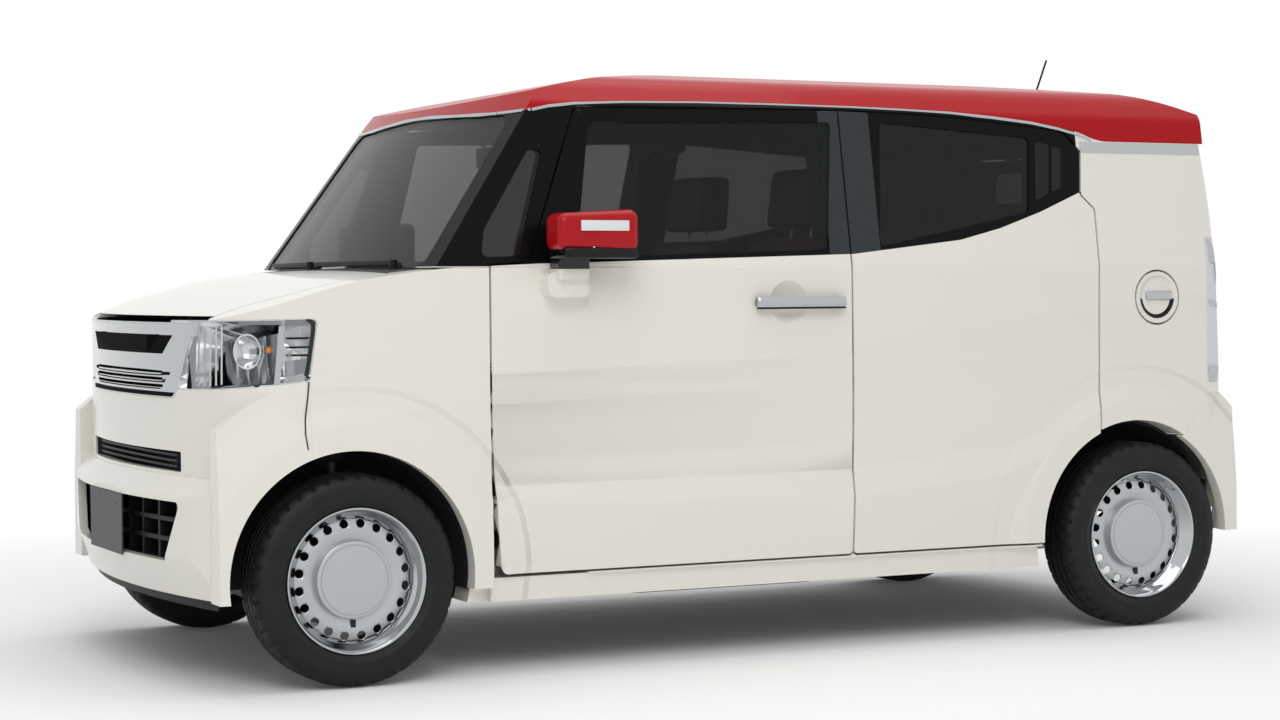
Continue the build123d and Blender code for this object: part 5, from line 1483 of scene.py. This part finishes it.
def add_mirrors():
    """Rounded red caps over black trays, in the place of the plain housings."""
    low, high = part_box("mirror_left")
    x0, y0, z0 = (c / MM for c in low)
    x1, y1, z1 = (c / MM for c in high)
    split = z0 + (z1 - z0) * TRAY_SHARE
    cap_low = (x0 + CAP_IN[0], y0, split)
    cap_high = (x1 - CAP_IN[1], y1 - CAP_OUT_IN, z1)
    cap = slab("mirror_cap", cap_low, cap_high, CAP_EDGE, CAP_EDGE_STEPS)
    pick_faces(cap, lambda place, normal: place.x / MM > x1 - CAP_FRONT_FACES)
    middle = (x1 * MM, (y0 + y1) / 2 * MM, (z0 + CAP_NARROW_Z) * MM)
    bpy.ops.transform.resize(value=CAP_NARROWING, center_override=middle)
    leave()
    smooth(CAP_SMOOTH_ANGLE)
    on_both_sides(cap, "mirror_red", "roof_paint", "front_door", "mirror")
    lens_low = (x0 + TURN_LENS_X[0], y1 - TURN_LENS_OUT[0], z1 - TURN_LENS_DOWN[0])
    lens_high = (x0 + TURN_LENS_X[1], y1 - TURN_LENS_OUT[1], z1 - TURN_LENS_DOWN[1])
    lens = slab("turn_lens", lens_low, lens_high, TURN_LENS_EDGE)
    on_both_sides(lens, "lens_white", "lamp_clear", "front_door")
    tray_low = (x0 + TRAY_IN[0], y0 + TRAY_SIDES_IN[0], z0)
    tray_high = (x1 - TRAY_IN[1], y1 - TRAY_SIDES_IN[1], split + TRAY_OVERLAP)
    tray = slab("mirror_tray", tray_low, tray_high, TRAY_EDGE, TRAY_EDGE_STEPS)
    on_both_sides(tray, "gloss_black", "black_plastic", "front_door")


def add_inside_mirror():
    """The inside mirror on its stalk."""
    glass = slab("inside_mirror", INSIDE_MIRROR_LOW, INSIDE_MIRROR_HIGH, INSIDE_MIRROR_EDGE, 3)
    dress(glass, FINISH["plastic"], "body", "black_plastic")
    stalk = drawn("inside_mirror_stalk", INSIDE_STALK, INSIDE_STALK_SECTION)
    dress(stalk, FINISH["plastic"], "body", "black_plastic")


# Slats and tail lamp trim, at pixels of the photograph

SLAT_AIM = (1040, 172)
SLAT_LIFT = 2.0
SLATS = {
    "corner_slat_front": ([(1034, 143), (1041, 143.5), (1048, 145)], [(1035, 200), (1041, 198), (1048, 193)]),
    "corner_slat_rear": ([(1051, 147), (1056, 148), (1060, 149)], [(1051, 192), (1056, 190), (1060, 188)]),
}
TAIL_AIM = (1211, 310)
TAIL_COLUMNS = (1203, 1208, 1213, 1218)
TAIL_LEAN = 2

# Each trim's upper row, lower row and lift over the lamp's skin
TAIL_TRIM = {"tail_cap_top": (239, 262, 3.0), "tail_cap_foot": (366, 383, 3.0), "tail_bar": (300, 306, 2.0)}


def add_corner_slats():
    """Two gloss black slats in the rear door's corner."""
    for name, (upper, lower) in SLATS.items():
        slat = ribbon(name, "door_rear_left", upper, lower, SLAT_AIM, SLAT_LIFT)
        on_both_sides(slat, "gloss_black", "black_plastic", "rear_door")


def add_tail_details():
    """Chrome caps and a middle bar on the tail lamps."""
    for name, (top, foot, lift) in TAIL_TRIM.items():
        upper = [(column, top) for column in TAIL_COLUMNS]
        lower = [(column + TAIL_LEAN, foot) for column in TAIL_COLUMNS]
        on_both_sides(ribbon(name, "tail_lamps", upper, lower, TAIL_AIM, lift), "chrome", "chrome")


# Stage and light: lengths in metres, power in watts

FLOOR_SIZE = 80
FLOOR_Z = -0.001
SHADOW_END = 1.9
WHITE_START = 4.0
WHITE_UNDER_CAR = 0.04
HORIZON = 0.14
ZENITH = 0.66
SKY_RANGE = (-0.1, 0.9)
LIT_POINT = Vector((0, 0, 0.8))
LAMPS = {"key_light": ((3.5, 6.5, 5.5), 4.0, 190), "top_light": ((0.0, 0.0, 6.5), 6.0, 130)}


def looked_at(tree):
    """1 for what the camera sees, also in a mirror or through glass."""
    path = add(tree, "ShaderNodeLightPath").outputs
    shown = sums(tree, "MAXIMUM", path["Is Camera Ray"], path["Is Glossy Ray"])
    return sums(tree, "MAXIMUM", shown, path["Is Transmission Ray"])


def add_stage():
    """A matt white floor that takes the car's shadow and goes over to plain white further out."""
    clear_selection()
    bpy.ops.mesh.primitive_plane_add(size=FLOOR_SIZE, location=(0, 0, FLOOR_Z))
    floor = bpy.context.object
    floor.name = "studio_floor"
    material = bpy.data.materials.new("matt_white_vinyl")
    material.use_nodes = True
    tree = material.node_tree
    tree.nodes.clear()
    paint = add(tree, "ShaderNodeBsdfDiffuse", {"Color": (1, 1, 1, 1)})
    glow = add(tree, "ShaderNodeEmission", {"Color": (1, 1, 1, 1), "Strength": 1.0})
    reach = add(tree, "ShaderNodeVectorMath", {0: object_place(tree)}, operation="LENGTH").outputs["Value"]
    fade = mapped(tree, reach, SHADOW_END, WHITE_START, WHITE_UNDER_CAR, 1.0)
    share = sums(tree, "MULTIPLY", looked_at(tree), fade)
    mixed = add(tree, "ShaderNodeMixShader", {0: share, 1: paint.outputs[0], 2: glow.outputs[0]})
    add(tree, "ShaderNodeOutputMaterial", {"Surface": mixed.outputs[0]})
    floor.data.materials.append(material)


def add_light():
    """A white studio to the eye, a sky that is dimmer at the horizon for the light, and two soft lamps."""
    world = bpy.data.worlds.new("studio")
    bpy.context.scene.world = world
    world.use_nodes = True
    tree = world.node_tree
    tree.nodes.clear()
    shown = looked_at(tree)
    outward = add(tree, "ShaderNodeTexCoord").outputs["Generated"]
    height = add(tree, "ShaderNodeSeparateXYZ", {"Vector": outward}).outputs["Z"]
    sky = mapped(tree, height, *SKY_RANGE, HORIZON, ZENITH)
    hidden = sums(tree, "SUBTRACT", 1.0, shown)
    strength = sums(tree, "ADD", shown, sums(tree, "MULTIPLY", hidden, sky))
    background = add(tree, "ShaderNodeBackground", {"Color": (1, 1, 1, 1), "Strength": strength})
    add(tree, "ShaderNodeOutputWorld", {"Surface": background.outputs[0]})
    for name, (place, size, power) in LAMPS.items():
        data = bpy.data.lights.new(name, "AREA")
        data.size = size
        data.energy = power
        lamp = bpy.data.objects.new(name, data)
        lamp.location = place
        lamp.rotation_euler = (LIT_POINT - Vector(place)).to_track_quat("-Z", "Y").to_euler()
        bpy.context.scene.collection.objects.link(lamp)
    bpy.context.scene.view_settings.view_transform = "Standard"


bpy.context.scene.tool_settings.mesh_select_mode = (False, False, True)
add_camera()
finish_nodes()
add_headlamps()
add_side_trim()
add_fuel_grip()
add_grille_parts()
add_bumper_gap_shade()
add_handles()
add_mirrors()
add_corner_slats()
add_inside_mirror()
add_tail_details()
add_wheels()
add_front_seats()
add_rear_bench()
add_stage()
add_light()
